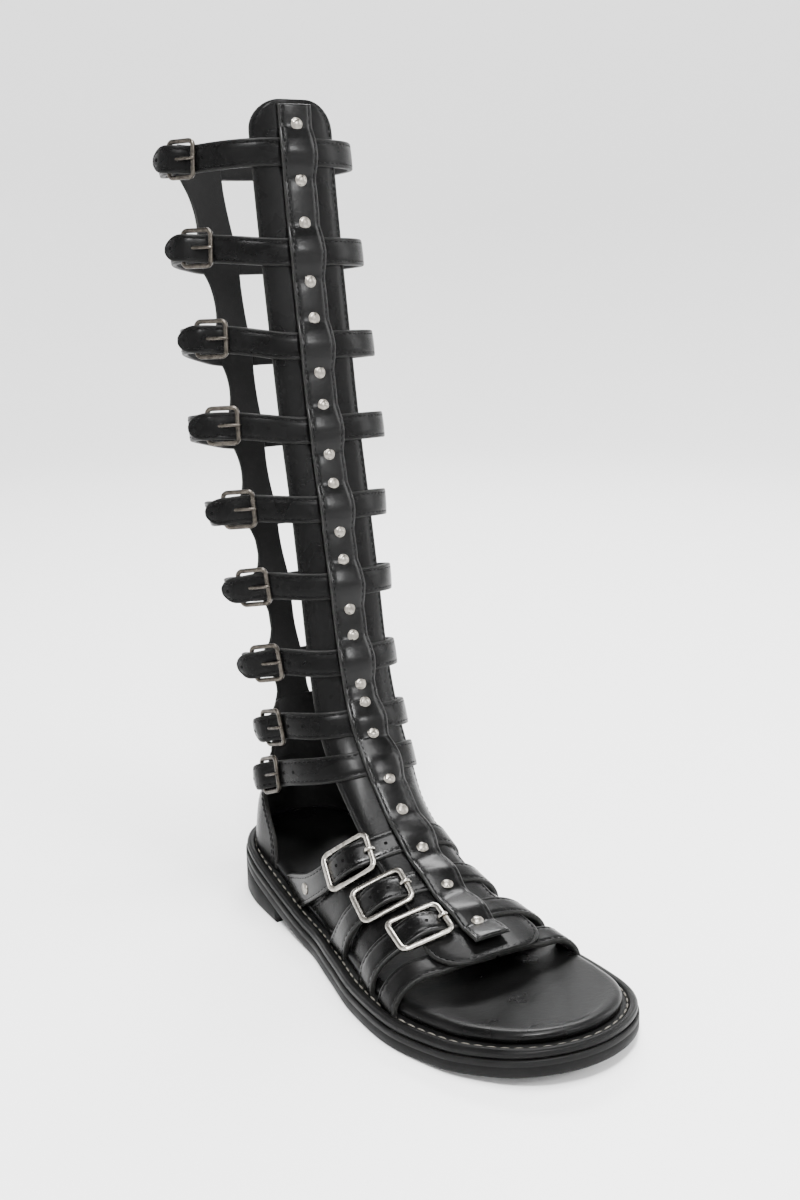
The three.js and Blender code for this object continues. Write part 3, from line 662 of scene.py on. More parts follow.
def makeInsole():
    base = lambda y: midsoleTop(y) + gap * 0.3
    cup = lambda y, h: base(y) + h
    inset = sole["insoleInset"]
    profile = [(0.9, 0.2), (0.2, 0.9), (0.0, 2.0), (0.15, 3.1), (0.7, 4.1), (1.6, 4.8), (3.0, 5.25),
               (5.0, 5.42)]
    rings = [soleRing(inset + 1.6, base, share) for share in (0.0, 0.4, 0.8, 1.0)]
    rings += [soleRing(inset + i, (lambda y, h=h: cup(y, h))) for i, h in profile]
    last = inset + profile[-1][0]
    for share in (0.93, 0.85, 0.75, 0.6, 0.45, 0.3, 0.15, 0.0):  # a shallow bed, lower along its middle
        rings.append(soleRing(last, (lambda y, k=share: cup(y, 5.42 - 0.5 * (1 - k * k))), share))
    points, faces = ringStack(rings)
    pad = newPiece("insolePad", points, faces, [liningCalf], None, np.zeros(len(points)))
    closeSeams(pad)
    return pad


outsole = makeOutsole()
heelBlock = makeHeelBlock()
welt = makeMidsole()
insole = makeInsole()
print("sole made")

# Front backing, with its top tab and toe flap.
backing = {"half": 21.0, "flap": 27.0, "flapStart": 388.0, "top": -12.0, "end": 431.0, "corner": 15.0,
           "thick": 1.8}


def backingHalf(s, inset=0.0):
    b = backing
    flare = (b["flap"] - b["half"]) * smooth(b["flapStart"], b["end"] - b["corner"], s)
    end = np.minimum(s - b["top"], b["end"] - s)
    corner = np.maximum(b["corner"] - end, 0)
    return b["half"] + flare - b["corner"] + np.sqrt(np.maximum((b["corner"] - inset) ** 2 - corner ** 2, 0))


frontFace = lambda s, a: facePoint(s, a, -1)
backFace = lambda s, a: facePoint(s, a, 1)


def endSteps(start, end, step, fine=(0.0, 0.12, 0.35, 0.8, 1.5, 2.6, 4.2, 6.5)):
    inner = np.arange(start + fine[-1] + step, end - fine[-1] - step / 2, step)
    return np.concatenate([[start + f for f in fine], inner, [end - f for f in reversed(fine)]])


def makeBacking():
    b = backing
    rows = endSteps(b["top"], b["end"], 2.2)
    safe = lambda s: backingHalf(np.clip(s, b["top"] + 1e-3, b["end"] - 1e-3))
    shell = leatherShell(frontFace, rows, safe, 0.0, b["thick"], cols=10, crown=0.15, tapers=(True, True))
    points, faces, slots, values = joinShells([shell])
    inset = strap["stitchIn"]
    run = np.linspace(b["top"] + inset, b["end"] - inset, 260)
    for side in (-1, 1):
        stitchRuns.append(lineOn(frontFace, run, side * backingHalf(run, inset), b["thick"] - 0.02))
    for s in (b["top"] + inset, b["end"] - inset):
        across = np.linspace(-float(backingHalf(s, inset)), float(backingHalf(s, inset)), 30)
        stitchRuns.append(lineOn(frontFace, np.full(30, s), across, b["thick"] - 0.02))
    return newPiece("frontBacking", points, faces, [calf, suede], slots, values)


upperPieces.append(makeBacking())

# Riveted front strip.
strip = {"half": 8.5, "thick": 1.7, "gap": 0.35, "start": -9.5, "end": 424.0, "near": 5.2, "far": 12.6,
         "pillow": 0.9}
crossings = [row[0] for row in shaftStraps] + [row[1] for row in footStraps]


def stripInner(s):
    near = np.min(np.abs(np.asarray(s)[..., None] - np.array(crossings)), -1)
    over = 1 - smooth(strip["near"], strip["far"], near)
    lift = strap["inner"] + strap["thick"] - backing["thick"]
    bulge = np.cos(np.clip(near / strip["near"] / 1.5, 0, 1) * np.pi / 2) ** 2
    return backing["thick"] + strip["gap"] + lift * over + strip["pillow"] * bulge


def stripDimple(s):  # pressed down a little round each rivet
    near = np.min(np.abs(np.asarray(s)[..., None] - np.array(rivetStations)), -1)
    return 0.28 * np.exp(-((near / 3.4) ** 2))


def stripOuter(s):
    return stripInner(s) + strip["thick"] - stripDimple(s)


def makeStrip():
    rows = endSteps(strip["start"], strip["end"], 1.1, (0.0, 0.12, 0.35, 0.8, 1.6))
    half = lambda s: strip["half"] - 0.35 + 0.35 * (stripInner(s) - 2) / 1.5
    shell = leatherShell(frontFace, rows, half, stripInner, stripOuter, cols=7, crown=0.45, groove=1.7,
                         tapers=(True, True))
    edgeStitches(frontFace, np.linspace(strip["start"] + 1.5, strip["end"] - 1.5, 700), half, stripOuter, 1.7)
    points, faces, slots, values = joinShells([shell])
    return newPiece("frontOverlay", points, faces, [patentCalf, suede], slots, values)


overlay = makeStrip()
print("front made")

# Buckles.
shaftBuckle = {"long": 16.5, "wide": 18.8, "wire": 2.2, "thick": 1.9, "corner": 3.4, "tip": 14.6,
               "tipRound": 7.5,
               "tipThick": 2.2}
footBuckle = {"long": 27.0, "wide": 21.4, "wire": 2.7, "thick": 2.3, "corner": 4.6, "bulge": 2.2}


def bandFrame(at, u, a=0.0, span=1.0):
    u = np.atleast_1d(float(u))
    a = np.atleast_1d(float(a))
    point, out = faceOut(at, u, a)
    path = unit(at(u + span, a)[0] - at(u - span, a)[0])[0]
    out = unit(out[0] - path * np.dot(out[0], path))
    wide = np.cross(out, path)
    return point[0], path, wide, out


def wireRing(shape, flat=3.0, sides=12, corners=8):  # a rounded frame with a softened square wire
    x, y = (shape["long"] - shape["wire"]) / 2, (shape["wide"] - shape["wire"]) / 2
    r = shape["corner"] - shape["wire"] / 2
    path, normal = [], []
    for cx, cy, start in ((x - r, y - r, 0), (-x + r, y - r, 90), (-x + r, -y + r, 180),
                          (x - r, -y + r, 270)):
        for k in range(corners + 1):
            angle = math.radians(start + 90 * k / corners)
            path.append((cx + r * math.cos(angle), cy + r * math.sin(angle)))
            normal.append((math.cos(angle), math.sin(angle)))
    path, normal = np.array(path), np.array(normal)
    points = []
    for k in range(sides):
        angle = 2 * np.pi * k / sides
        c, s = math.cos(angle), math.sin(angle)
        size = (abs(c) ** flat + abs(s) ** flat) ** (-1 / flat)
        across, up = shape["wire"] / 2 * size * c, shape["thick"] / 2 * size * s
        points.append(np.column_stack([path + normal * across, np.full(len(path), up + shape["thick"] / 2)]))
    points = np.stack(points, 1).reshape(-1, 3)
    count = len(path)
    faces = [(i * sides + j, i * sides + (j + 1) % sides, ((i + 1) % count) * sides + (j + 1) % sides,
              ((i + 1) % count) * sides + j)
             for i in range(count) for j in range(sides)]
    return points, faces


def rod(points, radii, sides=10, squash=1.0):  # a closed tapering rod in the plane of its local x and z
    points, radii = np.asarray(points, float), np.asarray(radii, float)
    ahead = unit(np.gradient(points, axis=0))
    side = np.array([0.0, 1.0, 0.0])
    up = unit(np.cross(ahead, side))
    rings = []
    for k in range(sides):
        angle = 2 * np.pi * k / sides
        rings.append(points + (side * math.cos(angle) + up * math.sin(angle) * squash) * radii[:, None])
    body = np.stack(rings, 1).reshape(-1, 3)
    count = len(points)
    faces = [(i * sides + j, i * sides + (j + 1) % sides, (i + 1) * sides + (j + 1) % sides,
              (i + 1) * sides + j)
             for i in range(count - 1) for j in range(sides)]
    faces += [tuple(range(sides)), tuple((count - 1) * sides + j for j in range(sides))]
    return body, faces


def setOn(points, spot, lift):
    origin, path, wide, out = spot
    return origin + points[:, :1] * path + points[:, 1:2] * wide + (points[:, 2:] + lift) * out


def metalPiece(name, parts, material, node):
    shells = [{"points": p, "faces": turnedOut(p - p.mean(0), f), "slots": [0] * len(f),
               "values": np.zeros(len(p))} for p, f in parts]
    points, faces = joinShells(shells)[:2]
    piece = newPiece(name, points, faces, [material])
    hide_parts(*node)
    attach(piece, "root")
    return piece


# Shaft straps.
def strapRoute(s, climb, run):
    return lambda u: (s - climb * (smooth(15, 75, -u) - smooth(95, 150, -u)) + run * smooth(50, 150, u), u)


def makeShaftStrap(number, s, buckle, flat, fold, climb, run):
    b = shaftBuckle
    route = strapRoute(s, climb, run)
    angles = np.linspace(-130, 188.5, 1200)
    distance, angleAt = reachOf(alongRoute(route, pulledStraight(flat, 99)), angles)
    centre = float(distance(-buckle))
    barAt = b["long"] / 2 - b["wire"] / 2
    at = alongRoute(route, pulledStraight(flat, float(distance(-flat)) - centre + barAt + 1.5))
    behindAt = alongRoute(route, foldedBack(flat, fold))
    base = lambda u: strap["inner"] + 0 * np.asarray(u, float)
    hingeTop = strap["thick"] + 0.25 + b["thick"] + 0.1
    thick = b["tipThick"]

    def frontInner(u):  # x runs back from the buckle's middle towards the strap's tip
        x = centre - distance(u)
        up = smooth(-barAt + 1.4, barAt - 1.0, x) * hingeTop
        down = smooth(barAt + 1.6, barAt + 6.5, x) * 1.2
        return base(u) + up - down

    tipEnd = centre - b["tip"]

    def frontHalf(u):
        d = np.maximum(distance(u) - tipEnd, 0)
        k = np.clip(1 - d / b["tipRound"], 0, 1)
        return np.maximum(strap["width"] / 2 * np.sqrt(np.maximum(1 - k ** 2.2, 0)), 0.35)

    def frontOuter(u):  # pared thinner towards the tip
        return frontInner(u) + thick + (strap["thick"] - thick) * smooth(centre, centre + 12, distance(u))

    us = [float(angleAt(tipEnd + d)) for d in (0.0, 0.1, 0.3, 0.7, 1.3, 2.1, 3.1, 4.3, 5.6, 7.0)]
    us += list(angleAt(np.arange(tipEnd + 8.2, centre + 12, 1.1)))
    us += list(angleAt(np.arange(centre + 13, float(distance(strap["to"])), 2.6)))
    us = np.array(us)
    shells = [leatherShell(at, us, frontHalf, frontInner, frontOuter, cols=3, crown=0.25,
                           tapers=(True, False))]
    sewn = us[(distance(us) > tipEnd + 3)]
    edgeStitches(at, np.linspace(sewn[0], sewn[-1], 420), frontHalf, frontOuter, strap["stitchIn"])
    backStart = strap["from"]
    hinge = float(angleAt(centre - barAt + 1.6))
    backUs = np.concatenate([np.linspace(backStart, -fold - 12, 26), np.linspace(-fold - 10.5, hinge, 12)])
    shells.append(leatherShell(behindAt, backUs, strap["width"] / 2 - 0.4, base,
                               lambda u: base(u) + strap["thick"], cols=3, crown=0.1))
    edgeStitches(behindAt, np.linspace(backStart + 2, -fold - 8, 200), strap["width"] / 2 - 0.4,
                 lambda u: base(u) + strap["thick"], strap["stitchIn"])
    # the folded end of the back strap, wrapped round the hinge bar
    foldUs = np.linspace(-fold - 6, float(angleAt(centre - barAt + 2.2)), 10)
    shells.append(leatherShell(behindAt, foldUs, 5.2, lambda u: base(u) + strap["thick"] + 0.02,
                               lambda u: base(u) + strap["thick"] + 0.9, cols=2, groove=0, rim=0.4))
    points, faces, slots, values = joinShells(shells)
    piece = newPiece("shaftStrap%d" % number, points, faces, [calf, suede], slots, values)

    origin, path, wide, out = bandFrame(at, -buckle)
    if np.dot(path, at(np.array([float(angleAt(centre - 5))]), np.zeros(1))[0][0] - origin) > 0:
        path, wide = -path, -wide  # local x runs towards the front of the shoe
    spot = (origin, path, wide, out)
    lifts = []
    for x in (-barAt, barAt):
        u = np.array([float(angleAt(centre + x))])
        top = lineOn(at, u, 0.0, base(u) + strap["thick"])[0]
        lifts.append(float(np.dot(top - origin, out)))
    lift = max(lifts) + 0.22
    points, faces = wireRing(b)
    parts = [(setOn(points, spot, lift), faces)]
    top = b["thick"]
    tongue = [(-barAt, 0, top * 0.5), (-barAt + 2.5, 0, top + 0.1), (0, 0, top + 0.75),
              (barAt - 2.4, 0, top + 0.95), (barAt - 0.6, 0, top + 0.75),
              (barAt + 0.7, 0, top + 0.5), (barAt + 1.7, 0, top + 0.05)]
    body, rodFaces = rod(tongue, [0.95, 0.95, 0.9, 0.85, 0.8, 0.7, 0.3], squash=0.8)
    parts.append((setOn(body, spot, lift), rodFaces))
    nodes = ("shaft_buckle_%d_frame" % number, "shaft_buckle_%d_prong" % number)
    metalPiece("shaftBuckle%d" % number, parts, pewter, nodes)
    for x in (barAt + 4.5, barAt + 13.5, -b["tip"] + 3.2):
        u = float(angleAt(centre + x))
        holeSpots.append(spotOn(at, u, frontOuter(u) + 0.25))
    return piece


for number, row in enumerate(shaftStraps, 1):
    upperPieces.append(makeShaftStrap(number, *row))
print("shaft straps and buckles made")

# Back band, with a tab at each strap, and the strip over the strap ends.
backMid, backHalf = (curveOf(backRows, k) for k in (1, 2))
backBand = {"top": 2.0, "end": 300.0, "thick": 1.8, "tab": 12.0, "swell": 5.5, "stripHalf": 6.0}


def backEdges(s):
    tab, swell = np.zeros_like(np.asarray(s, float)), np.zeros_like(np.asarray(s, float))
    for row in shaftStraps:
        away = row[0] - 0.6 * row[4] - s
        tab = np.maximum(tab, np.exp(-((away / np.where(away > 0, 6.8, 4.0)) ** 2)))
        swell = np.maximum(swell, np.exp(-((away / 10) ** 2)))
    flare = np.maximum(backBand["tab"] * tab, backBand["swell"] * swell)
    return backHalf(s) + flare, backHalf(s) + swell


def backStripInner(s):
    near = np.min(np.abs(np.asarray(s)[..., None] - np.array([row[0] for row in shaftStraps])), -1)
    over = strap["inner"] + strap["thick"] - backBand["thick"] + 0.1
    return backBand["thick"] + 0.2 + over * (1 - smooth(5.8, 10.5, near))


def makeBackBand():
    b = backBand
    rows = endSteps(b["top"], b["end"], 2.0, (0.0, 0.12, 0.35, 0.8))
    shell = leatherShell(backFace, rows, backEdges, 0.0, b["thick"], middle=backMid, cols=6,
                         tapers=(True, False))
    edgeStitches(backFace, np.linspace(b["top"] + 2, b["end"] - 4, 500), backEdges, b["thick"], 2.0, backMid)
    band = newPiece("backBand", *joinShells([shell])[:2], [calf, suede], shell["slots"], shell["values"])
    stripRows = endSteps(b["top"] + 1, 262.0, 1.3, (0.0, 0.12, 0.35, 0.8))
    outer = lambda s: backStripInner(s) + 1.6
    over = leatherShell(backFace, stripRows, b["stripHalf"], backStripInner, outer, middle=backMid, cols=5,
                        crown=0.3, groove=1.6, tapers=(True, True))
    edgeStitches(backFace, np.linspace(b["top"] + 2, 260, 420), b["stripHalf"], outer, 1.6, backMid)
    cover = newPiece("backOverlay", over["points"], over["faces"], [calf, suede], over["slots"],
                     over["values"])
    return [band, cover]


upperPieces += makeBackBand()

# Heel counter.
counterMid, counterBack, counterHalf, counterEdge = (curveOf(counterRows, k) for k in range(1, 5))
counter = {"low": 22.0, "high": 98.0, "thick": 1.9}


def counterReach(z):
    half, edge = counterHalf(z), counterEdge(z)
    centre = counterBack(z) - half
    turn = np.where(edge < centre, np.pi / 2, np.arccos(np.clip((edge - centre) / half, -1, 1)))
    return half * turn + np.maximum(centre - edge, 0), turn


def counterFace(z, a):
    z, a = np.broadcast_arrays(np.asarray(z, float), np.asarray(a, float))
    half = counterHalf(z)
    centre = counterBack(z) - half
    turn = counterReach(z)[1]
    along = np.abs(a)
    round_ = np.minimum(along / half, turn)
    x = counterMid(z) + np.sign(a) * half * np.sin(round_)
    ahead = np.maximum(along - half * turn, 0)
    y = centre + half * np.cos(round_) - ahead * np.where(turn < np.pi / 2 - 1e-3, np.sin(turn), 1)
    return np.stack([x, y, z], -1), np.stack([counterMid(z), centre - 25, z], -1)


def makeCounter():
    c = counter
    rows = endSteps(c["low"], c["high"], 2.0, (0.0, 0.15, 0.4, 0.9))
    half = lambda z: counterReach(z)[0]
    shell = leatherShell(counterFace, rows, half, 0.0, c["thick"], cols=34, rim=0.8, crown=0.0,
                         tapers=(False, True))
    runs = np.linspace(c["low"] + 4, c["high"] - 2.5, 120)
    for inset in (2.0, 4.2):
        edgeStitches(counterFace, runs, half, c["thick"] + 0.1, inset)
    top = np.full(60, c["high"] - 2.2)
    across = np.linspace(-1, 1, 60) * (float(half(np.array([c["high"] - 2.2]))[0]) - 2)
    stitchRuns.append(lineOn(counterFace, top, across, c["thick"]))
    return newPiece("heelCounter", shell["points"], shell["faces"], [calf, suede], shell["slots"],
                    shell["values"])


upperPieces.append(makeCounter())
print("back made")

# Foot straps.
footReach = {"from": 2.0, "span": 112.0, "under": 3.1, "clearFrom": 54, "clearTo": 74}


def footRoute(s, back, side):
    return lambda u: (s - back * smooth(0, 1.15, (u - 7) / footReach["span"]), side * u)


def soleAngle(at):  # where a band's middle has gone well into the welt
    us = np.linspace(60, 124, 200)
    line = at(us, np.full(200, 5.0))[0]
    other = at(us, np.full(200, -5.0))[0]
    high = np.maximum(line[:, 2] - midsoleTop(line[:, 1]), other[:, 2] - midsoleTop(other[:, 1]))
    below = np.nonzero(high < -0.6)[0]
    return float(us[below[0]]) if len(below) else 121.0


def intoWelt(shell):
    low = outsoleTop(shell["points"][:, 1]) + 0.8
    shell["points"][:, 2] = np.maximum(shell["points"][:, 2], low)
    return shell


def makeFootStrap(name, s, back, foot, side, buckle, nodes):
    at = alongRoute(footRoute(s, back, side))
    b = footBuckle
    angles = np.linspace(0.5, 118, 600)
    distance, angleAt = reachOf(at, angles)
    wider = foot - strap["width"] / 2
    half = lambda u: strap["width"] / 2 + wider * smooth(0.62, 1, (u - 7) / footReach["span"])
    inner = lambda u: strap["inner"] * np.ones_like(np.asarray(u, float))
    if name[0] == "D":  # comes out from under the flap
        inner = lambda u: footReach["under"] * (smooth(footReach["clearFrom"], footReach["clearTo"], u) - 1)
    if buckle:
        centre = float(distance(buckle))
        reach = b["long"] / 2 - b["wire"] - 0.3
        along = lambda u: np.clip((distance(u) - centre) / reach, -1, 1)
        inner = lambda u: strap["inner"] + b["bulge"] * np.cos(along(u) * np.pi / 2) ** 1.3
    outer = lambda u: inner(u) + strap["thick"]
    us = angleAt(np.arange(float(distance(footReach["from"])), float(distance(soleAngle(at))), 1.5))
    shells = [intoWelt(leatherShell(at, us, half, inner, outer, cols=4, crown=0.3 if buckle else 0.15))]
    edgeStitches(at, np.linspace(us[0], us[-1] - 2, 260), half, outer, strap["stitchIn"])
    points, faces, slots, values = joinShells(shells)
    piece = newPiece("footStrap" + name, points, faces, [patentCalf if buckle else calf, suede], slots,
                     values)
    if buckle:
        spot = bandFrame(at, buckle, 0.0, 12.0)
        origin, out = spot[0], spot[3]
        lifts = []
        for x in (-1, 1):
            u = np.array([float(angleAt(centre + x * (b["long"] / 2 - b["wire"] / 2)))])
            lifts.append(float(np.dot(lineOn(at, u, 0.0, outer(u))[0] - origin, out)))
        lift = max(lifts) + 0.15
        points, faces = wireRing(b)
        parts = [(setOn(points, spot, lift), faces)]
        bar = -(b["long"] / 2 - b["wire"] / 2)  # the prong hangs on the bar nearer the front strip
        hook = [(bar - 1.9, 0, 0.2), (bar - 1.7, 0, 1.6), (bar - 0.6, 0, 2.9), (bar + 0.8, 0, 3.0),
                (bar + 2.2, 0, 2.2), (bar + 3.6, 0, 0.9)]
        body, rodFaces = rod(hook, [0.7, 0.9, 1.0, 1.0, 0.9, 0.6], squash=0.7)
        parts.append((setOn(body, spot, lift), rodFaces))
        metalPiece("footBuckle" + name[0], parts, nickel, nodes)
        for x in (-3.2, 0.6, 4.4, -b["long"] / 2 - 4.5):
            u = float(angleAt(centre + x))
            holeSpots.append(spotOn(at, u, outer(u) + 0.3))
    return piece


for name, s, latBack, medBack, latFoot, medFoot, buckle in footStraps:
    letter = name.lower()
    nodes = ("foot_buckle_%s_frame" % letter, "foot_buckle_%s_prong" % letter)
    upperPieces.append(makeFootStrap(name + "Outer", s, latBack, latFoot, -1, buckle, nodes))
    upperPieces.append(makeFootStrap(name + "Inner", s, medBack, medFoot, 1, 0, ()))

innerBands = [  # way down the front, run back, half width, side: thin bands under the gaps
    (363, 20, 10, -1), (389, 11, 10, -1), (363, 8, 10, 1), (389, 3, 10, 1)]


def makeInnerBands():
    shells = []
    for s, back, half, side in innerBands:
        at = alongRoute(footRoute(s, back, side))
        us = np.linspace(10, soleAngle(at), 50)
        shells.append(intoWelt(leatherShell(at, us, half, -1.6, 0.0, cols=3)))
        edgeStitches(at, np.linspace(12, us[-1] - 3, 200), half, 0.0, 1.9)
    points, faces, slots, values = joinShells(shells)
    return newPiece("innerBands", points, faces, [calf, suede], slots, values)


upperPieces.append(makeInnerBands())
print("foot straps made")

# Stitches, rivets, and dark discs of painted shade for the punched holes, made by geometry nodes.


def newTree(name, inputs):
    tree = bpy.data.node_groups.new(name, "GeometryNodeTree")
    tree.interface.new_socket("Geometry", in_out="INPUT", socket_type="NodeSocketGeometry")
    tree.interface.new_socket("Geometry", in_out="OUTPUT", socket_type="NodeSocketGeometry")
    for label, kind, value in inputs:
        socket = tree.interface.new_socket(label, in_out="INPUT", socket_type=kind)
        if value is not None:
            socket.default_value = value
    return tree, addNode(tree, "NodeGroupInput"), addNode(tree, "NodeGroupOutput")


def socketIds(tree):
    return {item.name: item.identifier for item in tree.interface.items_tree if item.in_out == "INPUT"}


def finishTree(tree, copies, material, end):
    whole = addNode(tree, "GeometryNodeRealizeInstances", None, {0: copies.outputs[0]})
    soft = addNode(tree, "GeometryNodeSetShadeSmooth", None, {0: whole.outputs[0]})
    painted = addNode(tree, "GeometryNodeSetMaterial", None,
                      {"Geometry": soft.outputs[0], "Material": material})
    tree.links.new(painted.outputs[0], end.inputs[0])
    return tree


def stitchTree():
    tree, start, end = newTree("stitchRow", [("Spacing", "NodeSocketFloat", 0.003), ("Length",
            "NodeSocketFloat", 0.0022),
                                             ("Thickness", "NodeSocketFloat", 0.0005),
                                             ("Thread", "NodeSocketMaterial", None)])
    curve = addNode(tree, "GeometryNodeMeshToCurve", None, {0: start.outputs["Geometry"]})
    even = addNode(tree, "GeometryNodeResampleCurve", {"mode": "LENGTH"}, {"Curve": curve.outputs[0]})
    tree.links.new(start.outputs["Spacing"], even.inputs["Length"])
    grain = addNode(tree, "GeometryNodeMeshUVSphere", None, {"Segments": 6, "Rings": 5, "Radius": 0.5})
    size = addNode(tree, "ShaderNodeCombineXYZ", None, {0: start.outputs["Length"],
            1: start.outputs["Thickness"], 2: start.outputs["Thickness"]})
    shaped = addNode(tree, "GeometryNodeTransform", None, {"Geometry": grain.outputs[0],
            "Scale": size.outputs[0]})
    tangent = addNode(tree, "GeometryNodeInputTangent")
    turn = addNode(tree, "FunctionNodeAlignRotationToVector", {"axis": "X"}, {"Vector": tangent.outputs[0]})
    copies = addNode(tree, "GeometryNodeInstanceOnPoints", None,
                     {"Points": even.outputs[0], "Instance": shaped.outputs[0], "Rotation": turn.outputs[0]})
    return finishTree(tree, copies, start.outputs["Thread"], end)


def studTree():  # a domed head inside a rolled ring, on points that carry their facing
    tree, start, end = newTree("studHeads", [("Radius", "NodeSocketFloat", 0.0026), ("Dome",
            "NodeSocketFloat", 0.0012),
                                             ("Ring", "NodeSocketFloat", 0.0004),
                                             ("Metal", "NodeSocketMaterial", None)])
    dome = addNode(tree, "GeometryNodeMeshUVSphere", None, {"Segments": 28, "Rings": 14, "Radius": 1.0})
    size = addNode(tree, "ShaderNodeCombineXYZ", None, {0: start.outputs["Radius"],
            1: start.outputs["Radius"], 2: start.outputs["Dome"]})
    head = addNode(tree, "GeometryNodeTransform", None, {"Geometry": dome.outputs[0],
            "Scale": size.outputs[0]})
    circle = addNode(tree, "GeometryNodeCurvePrimitiveCircle", None,
                     {"Resolution": 32, "Radius": start.outputs["Radius"]})
    section = addNode(tree, "GeometryNodeCurvePrimitiveCircle", None,
                      {"Resolution": 8, "Radius": start.outputs["Ring"]})
    ring = addNode(tree, "GeometryNodeCurveToMesh", None, {"Curve": circle.outputs[0],
            "Profile Curve": section.outputs[0]})
    both = addNode(tree, "GeometryNodeJoinGeometry")
    tree.links.new(head.outputs[0], both.inputs[0])
    tree.links.new(ring.outputs[0], both.inputs[0])
    facing = addNode(tree, "GeometryNodeInputNamedAttribute", {"data_type": "FLOAT_VECTOR"},
                     {"Name": "facing"})
    turn = addNode(tree, "FunctionNodeAlignRotationToVector", {"axis": "Z"}, {"Vector": facing.outputs[0]})
    points = addNode(tree, "GeometryNodeMeshToPoints", None, {0: start.outputs["Geometry"]})
    copies = addNode(tree, "GeometryNodeInstanceOnPoints", None,
                     {"Points": points.outputs[0], "Instance": both.outputs[0], "Rotation": turn.outputs[0]})
    return finishTree(tree, copies, start.outputs["Metal"], end)


def bakeNodes(name, mesh, tree, values):
    holder = bpy.data.objects.new(name + "Source", mesh)
    scene.collection.objects.link(holder)
    modifier = holder.modifiers.new("pattern", "NODES")
    modifier.node_group = tree
    ids = socketIds(tree)
    for label, value in values.items():
        modifier[ids[label]] = value
    bpy.context.view_layer.update()
    evaluated = holder.evaluated_get(bpy.context.evaluated_depsgraph_get())
    result = bpy.data.meshes.new_from_object(evaluated)
    holder.modifiers.remove(modifier)
    bpy.data.objects.remove(holder)
    result.name = name
    piece = bpy.data.objects.new(name, result)
    scene.collection.objects.link(piece)
    return piece


def runsMesh(name, runs, closed=False):
    points, edges, count = [], [], 0
    for run in runs:
        points.append(run)
        edges += [(count + i, count + i + 1) for i in range(len(run) - 1)]
        if closed:
            edges.append((count + len(run) - 1, count))
        count += len(run)
    mesh = bpy.data.meshes.new(name)
    mesh.from_pydata((np.concatenate(points) * 0.001).tolist(), edges, [])
    return mesh


def spotsMesh(name, spots):
    mesh = bpy.data.meshes.new(name)
    mesh.from_pydata([tuple(np.asarray(point) * 0.001) for point, _ in spots], [], [])
    attribute = mesh.attributes.new("facing", "FLOAT_VECTOR", "POINT")
    attribute.data.foreach_set("vector", np.array([face for _, face in spots], np.float32).ravel())
    return mesh


# Stitches, rivets and holes are in metres.
stitch = {"Spacing": 0.0031, "Length": 0.0023, "Thickness": 0.0006}
weltStitch = {"Spacing": 0.0058, "Length": 0.0048, "Thickness": 0.0009}
rows = stitchTree()
edgeStitching = bakeNodes("edgeStitching", runsMesh("stitchPaths", stitchRuns), rows,
                          {**stitch, "Thread": blackThread})
weltLoop = insetLoop(weltGroove["at"])
weltPath = np.column_stack([weltLoop, midsoleTop(weltLoop[:, 1]) - 0.35])
weltStitching = bakeNodes("weltStitching", runsMesh("weltPath", [weltPath], True), rows,
                          {**weltStitch, "Thread": greyThread})

studs = studTree()
rivetSpots = [spotOn(frontFace, s, stripOuter(s) + 0.42) for s in rivetStations]
rivets = bakeNodes("frontRivets", spotsMesh("rivetSpots", rivetSpots), studs,
                   {"Radius": 0.0026, "Dome": 0.0012, "Ring": 0.00035, "Metal": rivetSteel})
backSpots = [spotOn(backFace, row[0], backStripInner(row[0]) + 1.9, backMid(row[0]))
             for row in shaftStraps[:8]]
# The post low on the hindmost foot strap.
anklePost = {"angle": 88.0, "down": footStraps[0][1], "back": footStraps[0][2]}
at = alongRoute(footRoute(anklePost["down"], anklePost["back"], -1))
backSpots.append(spotOn(at, anklePost["angle"], strap["inner"] + strap["thick"] + 0.3))
backRivets = bakeNodes("backRivets", spotsMesh("backSpots", backSpots), studs,
                       {"Radius": 0.0024, "Dome": 0.0007, "Ring": 0.0006, "Metal": rivetSteel})
# painted shade: dark discs stand in for the shaded openings of the punched holes
holeShadeDiscs = bakeNodes("punchedHoles", spotsMesh("holeSpots", holeSpots), studs,
                  {"Radius": 0.0007, "Dome": 0.00012, "Ring": 0.00018, "Metal": holeShade})
print("stitches", len(edgeStitching.data.polygons), "rivets", len(rivets.data.polygons))

# What each piece stands for and rides on.
for piece in upperPieces:
    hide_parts("upper")
    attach(piece, "root")
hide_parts("front_strip")
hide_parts("outsole")
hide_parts("outsole")
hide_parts("midsole_welt")
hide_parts("insole")
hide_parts(*["rivet_%d" % (i + 1) for i in range(len(rivetStations))])
finishSlots = {"black_leather": (overlay, edgeStitching, weltStitching, holeShadeDiscs), "lining_leather": (insole,),
               "black_rubber": (outsole, heelBlock, welt), "bright_nickel": (rivets, backRivets)}
for piece, slotName in [(piece, name) for name, pieces in finishSlots.items() for piece in pieces]:
    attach(piece, "root")

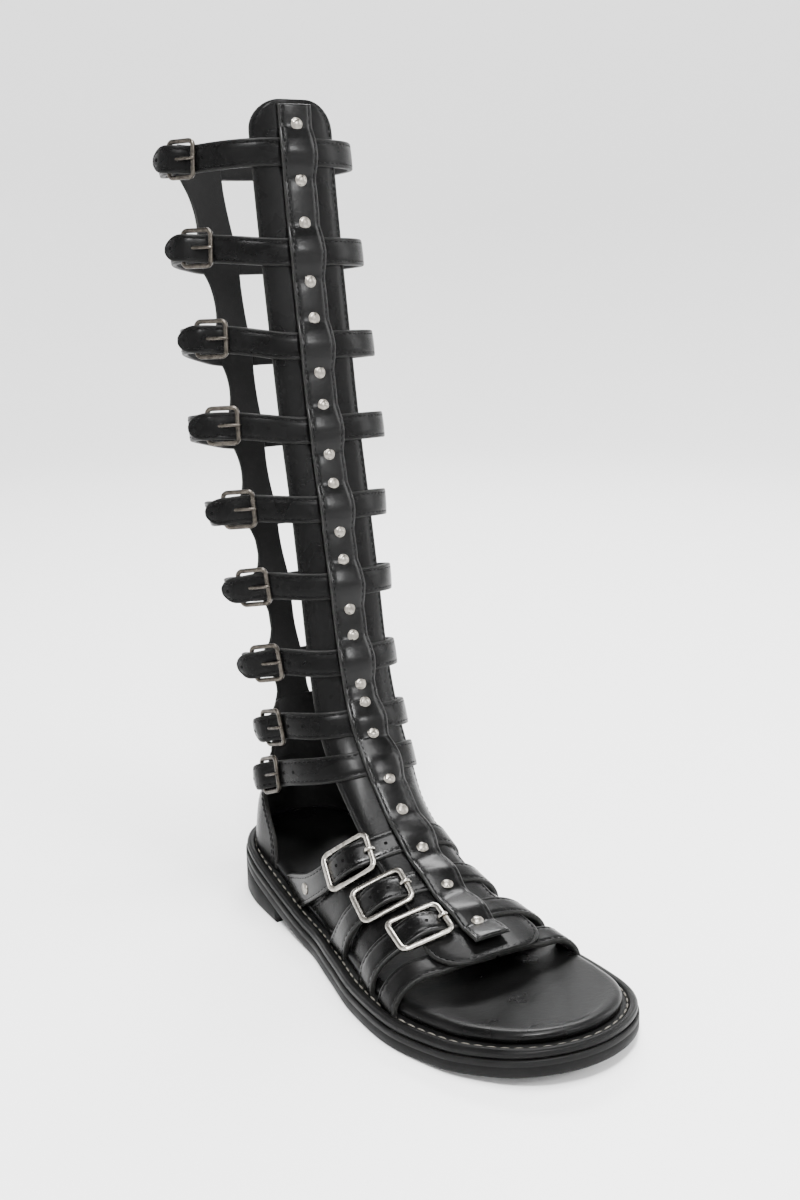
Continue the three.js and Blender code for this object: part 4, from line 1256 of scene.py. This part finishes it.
# Floor, lights and camera.
studio = {"sides": 96, "floor": "#f4f4f4", "world": "#ffffff", "worldStrength": 0.35, "radius": 2.3,
          "sweep": 0.9, "high": 2.0}
profile = [(0.02, 0.0), (0.8, 0.0), (studio["radius"] - studio["sweep"], 0.0)]
profile += [(studio["radius"] - studio["sweep"] + studio["sweep"] * math.sin(a),
             studio["sweep"] * (1 - math.cos(a)))
            for a in np.linspace(0, math.pi / 2, 13)[1:]]
profile.append((studio["radius"], studio["high"]))
sides = studio["sides"]
floorPoints = [(-r * math.cos(a), r * math.sin(a), z)
               for r, z in profile for a in np.linspace(0, 2 * math.pi, sides + 1)[:-1]]
floorFaces = [(i * sides + j, i * sides + (j + 1) % sides, (i + 1) * sides + (j + 1) % sides,
               (i + 1) * sides + j)
              for i in range(len(profile) - 1) for j in range(sides)]
floorFaces.append(tuple(reversed(range(sides))))
floorMesh = bpy.data.meshes.new("studioFloor")
floorMesh.from_pydata(floorPoints, [], floorFaces)
floorMesh.polygons.foreach_set("use_smooth", [True] * len(floorFaces))
floor = bpy.data.objects.new("studioFloor", floorMesh)
scene.collection.objects.link(floor)
paper = newMaterial("seamlessPaper", {"Base Color": hexColour(studio["floor"]), "Roughness": 0.9,
                                      "Specular IOR Level": 0.1})[0]
floorMesh.materials.append(paper)

world = bpy.data.worlds.new("studioWorld")
world.use_nodes = True
world.node_tree.nodes["Background"].inputs[0].default_value = hexColour(studio["world"])
world.node_tree.nodes["Background"].inputs[1].default_value = studio["worldStrength"]
scene.world = world

lights = [  # name, place, size, power, where it looks
    ("keySoftbox", (-0.5, -0.85, 1.45), (0.34, 0.34), 52, (0, -0.1, 0.2)),
    ("glintSoftbox", (0.4, -1.4, 0.95), (0.3, 0.3), 13, (0, -0.05, 0.25)),
    ("fillSoftbox", (1.3, -0.5, 0.7), (0.35, 1.1), 12, (0, -0.1, 0.2)),
    ("topSoftbox", (0.1, -0.35, 1.8), (0.9, 0.9), 46, (0, -0.1, 0.1)),
    ("backSoftbox", (0.72, 0.88, 1.3), (0.8, 0.35), 30, (0, -0.15, 0.05))]
for name, spotAt, size, power, look in lights:
    lamp = bpy.data.lights.new(name, "AREA")
    lamp.shape = "RECTANGLE"
    lamp.size, lamp.size_y, lamp.energy = size[0], size[1], power
    holder = bpy.data.objects.new(name, lamp)
    holder.location = spotAt
    holder.rotation_euler = (Vector(look) - Vector(spotAt)).to_track_quat("-Z", "Y").to_euler()
    scene.collection.objects.link(holder)

view = {"place": (-0.3186, -0.6870, 0.3426), "pitch": 75.217, "heading": -33.62, "lens": 37.08 * 1.2,
        "shift": -0.094}
lensData = bpy.data.cameras.new("studioCamera")
lensData.lens = view["lens"]
lensData.sensor_width = 36.0
lensData.shift_x = view["shift"]
lensData.clip_start = 0.01
camera = bpy.data.objects.new("studioCamera", lensData)
camera.location = view["place"]
camera.rotation_euler = (math.radians(view["pitch"]), 0, math.radians(view["heading"]))
scene.collection.objects.link(camera)
scene.camera = camera
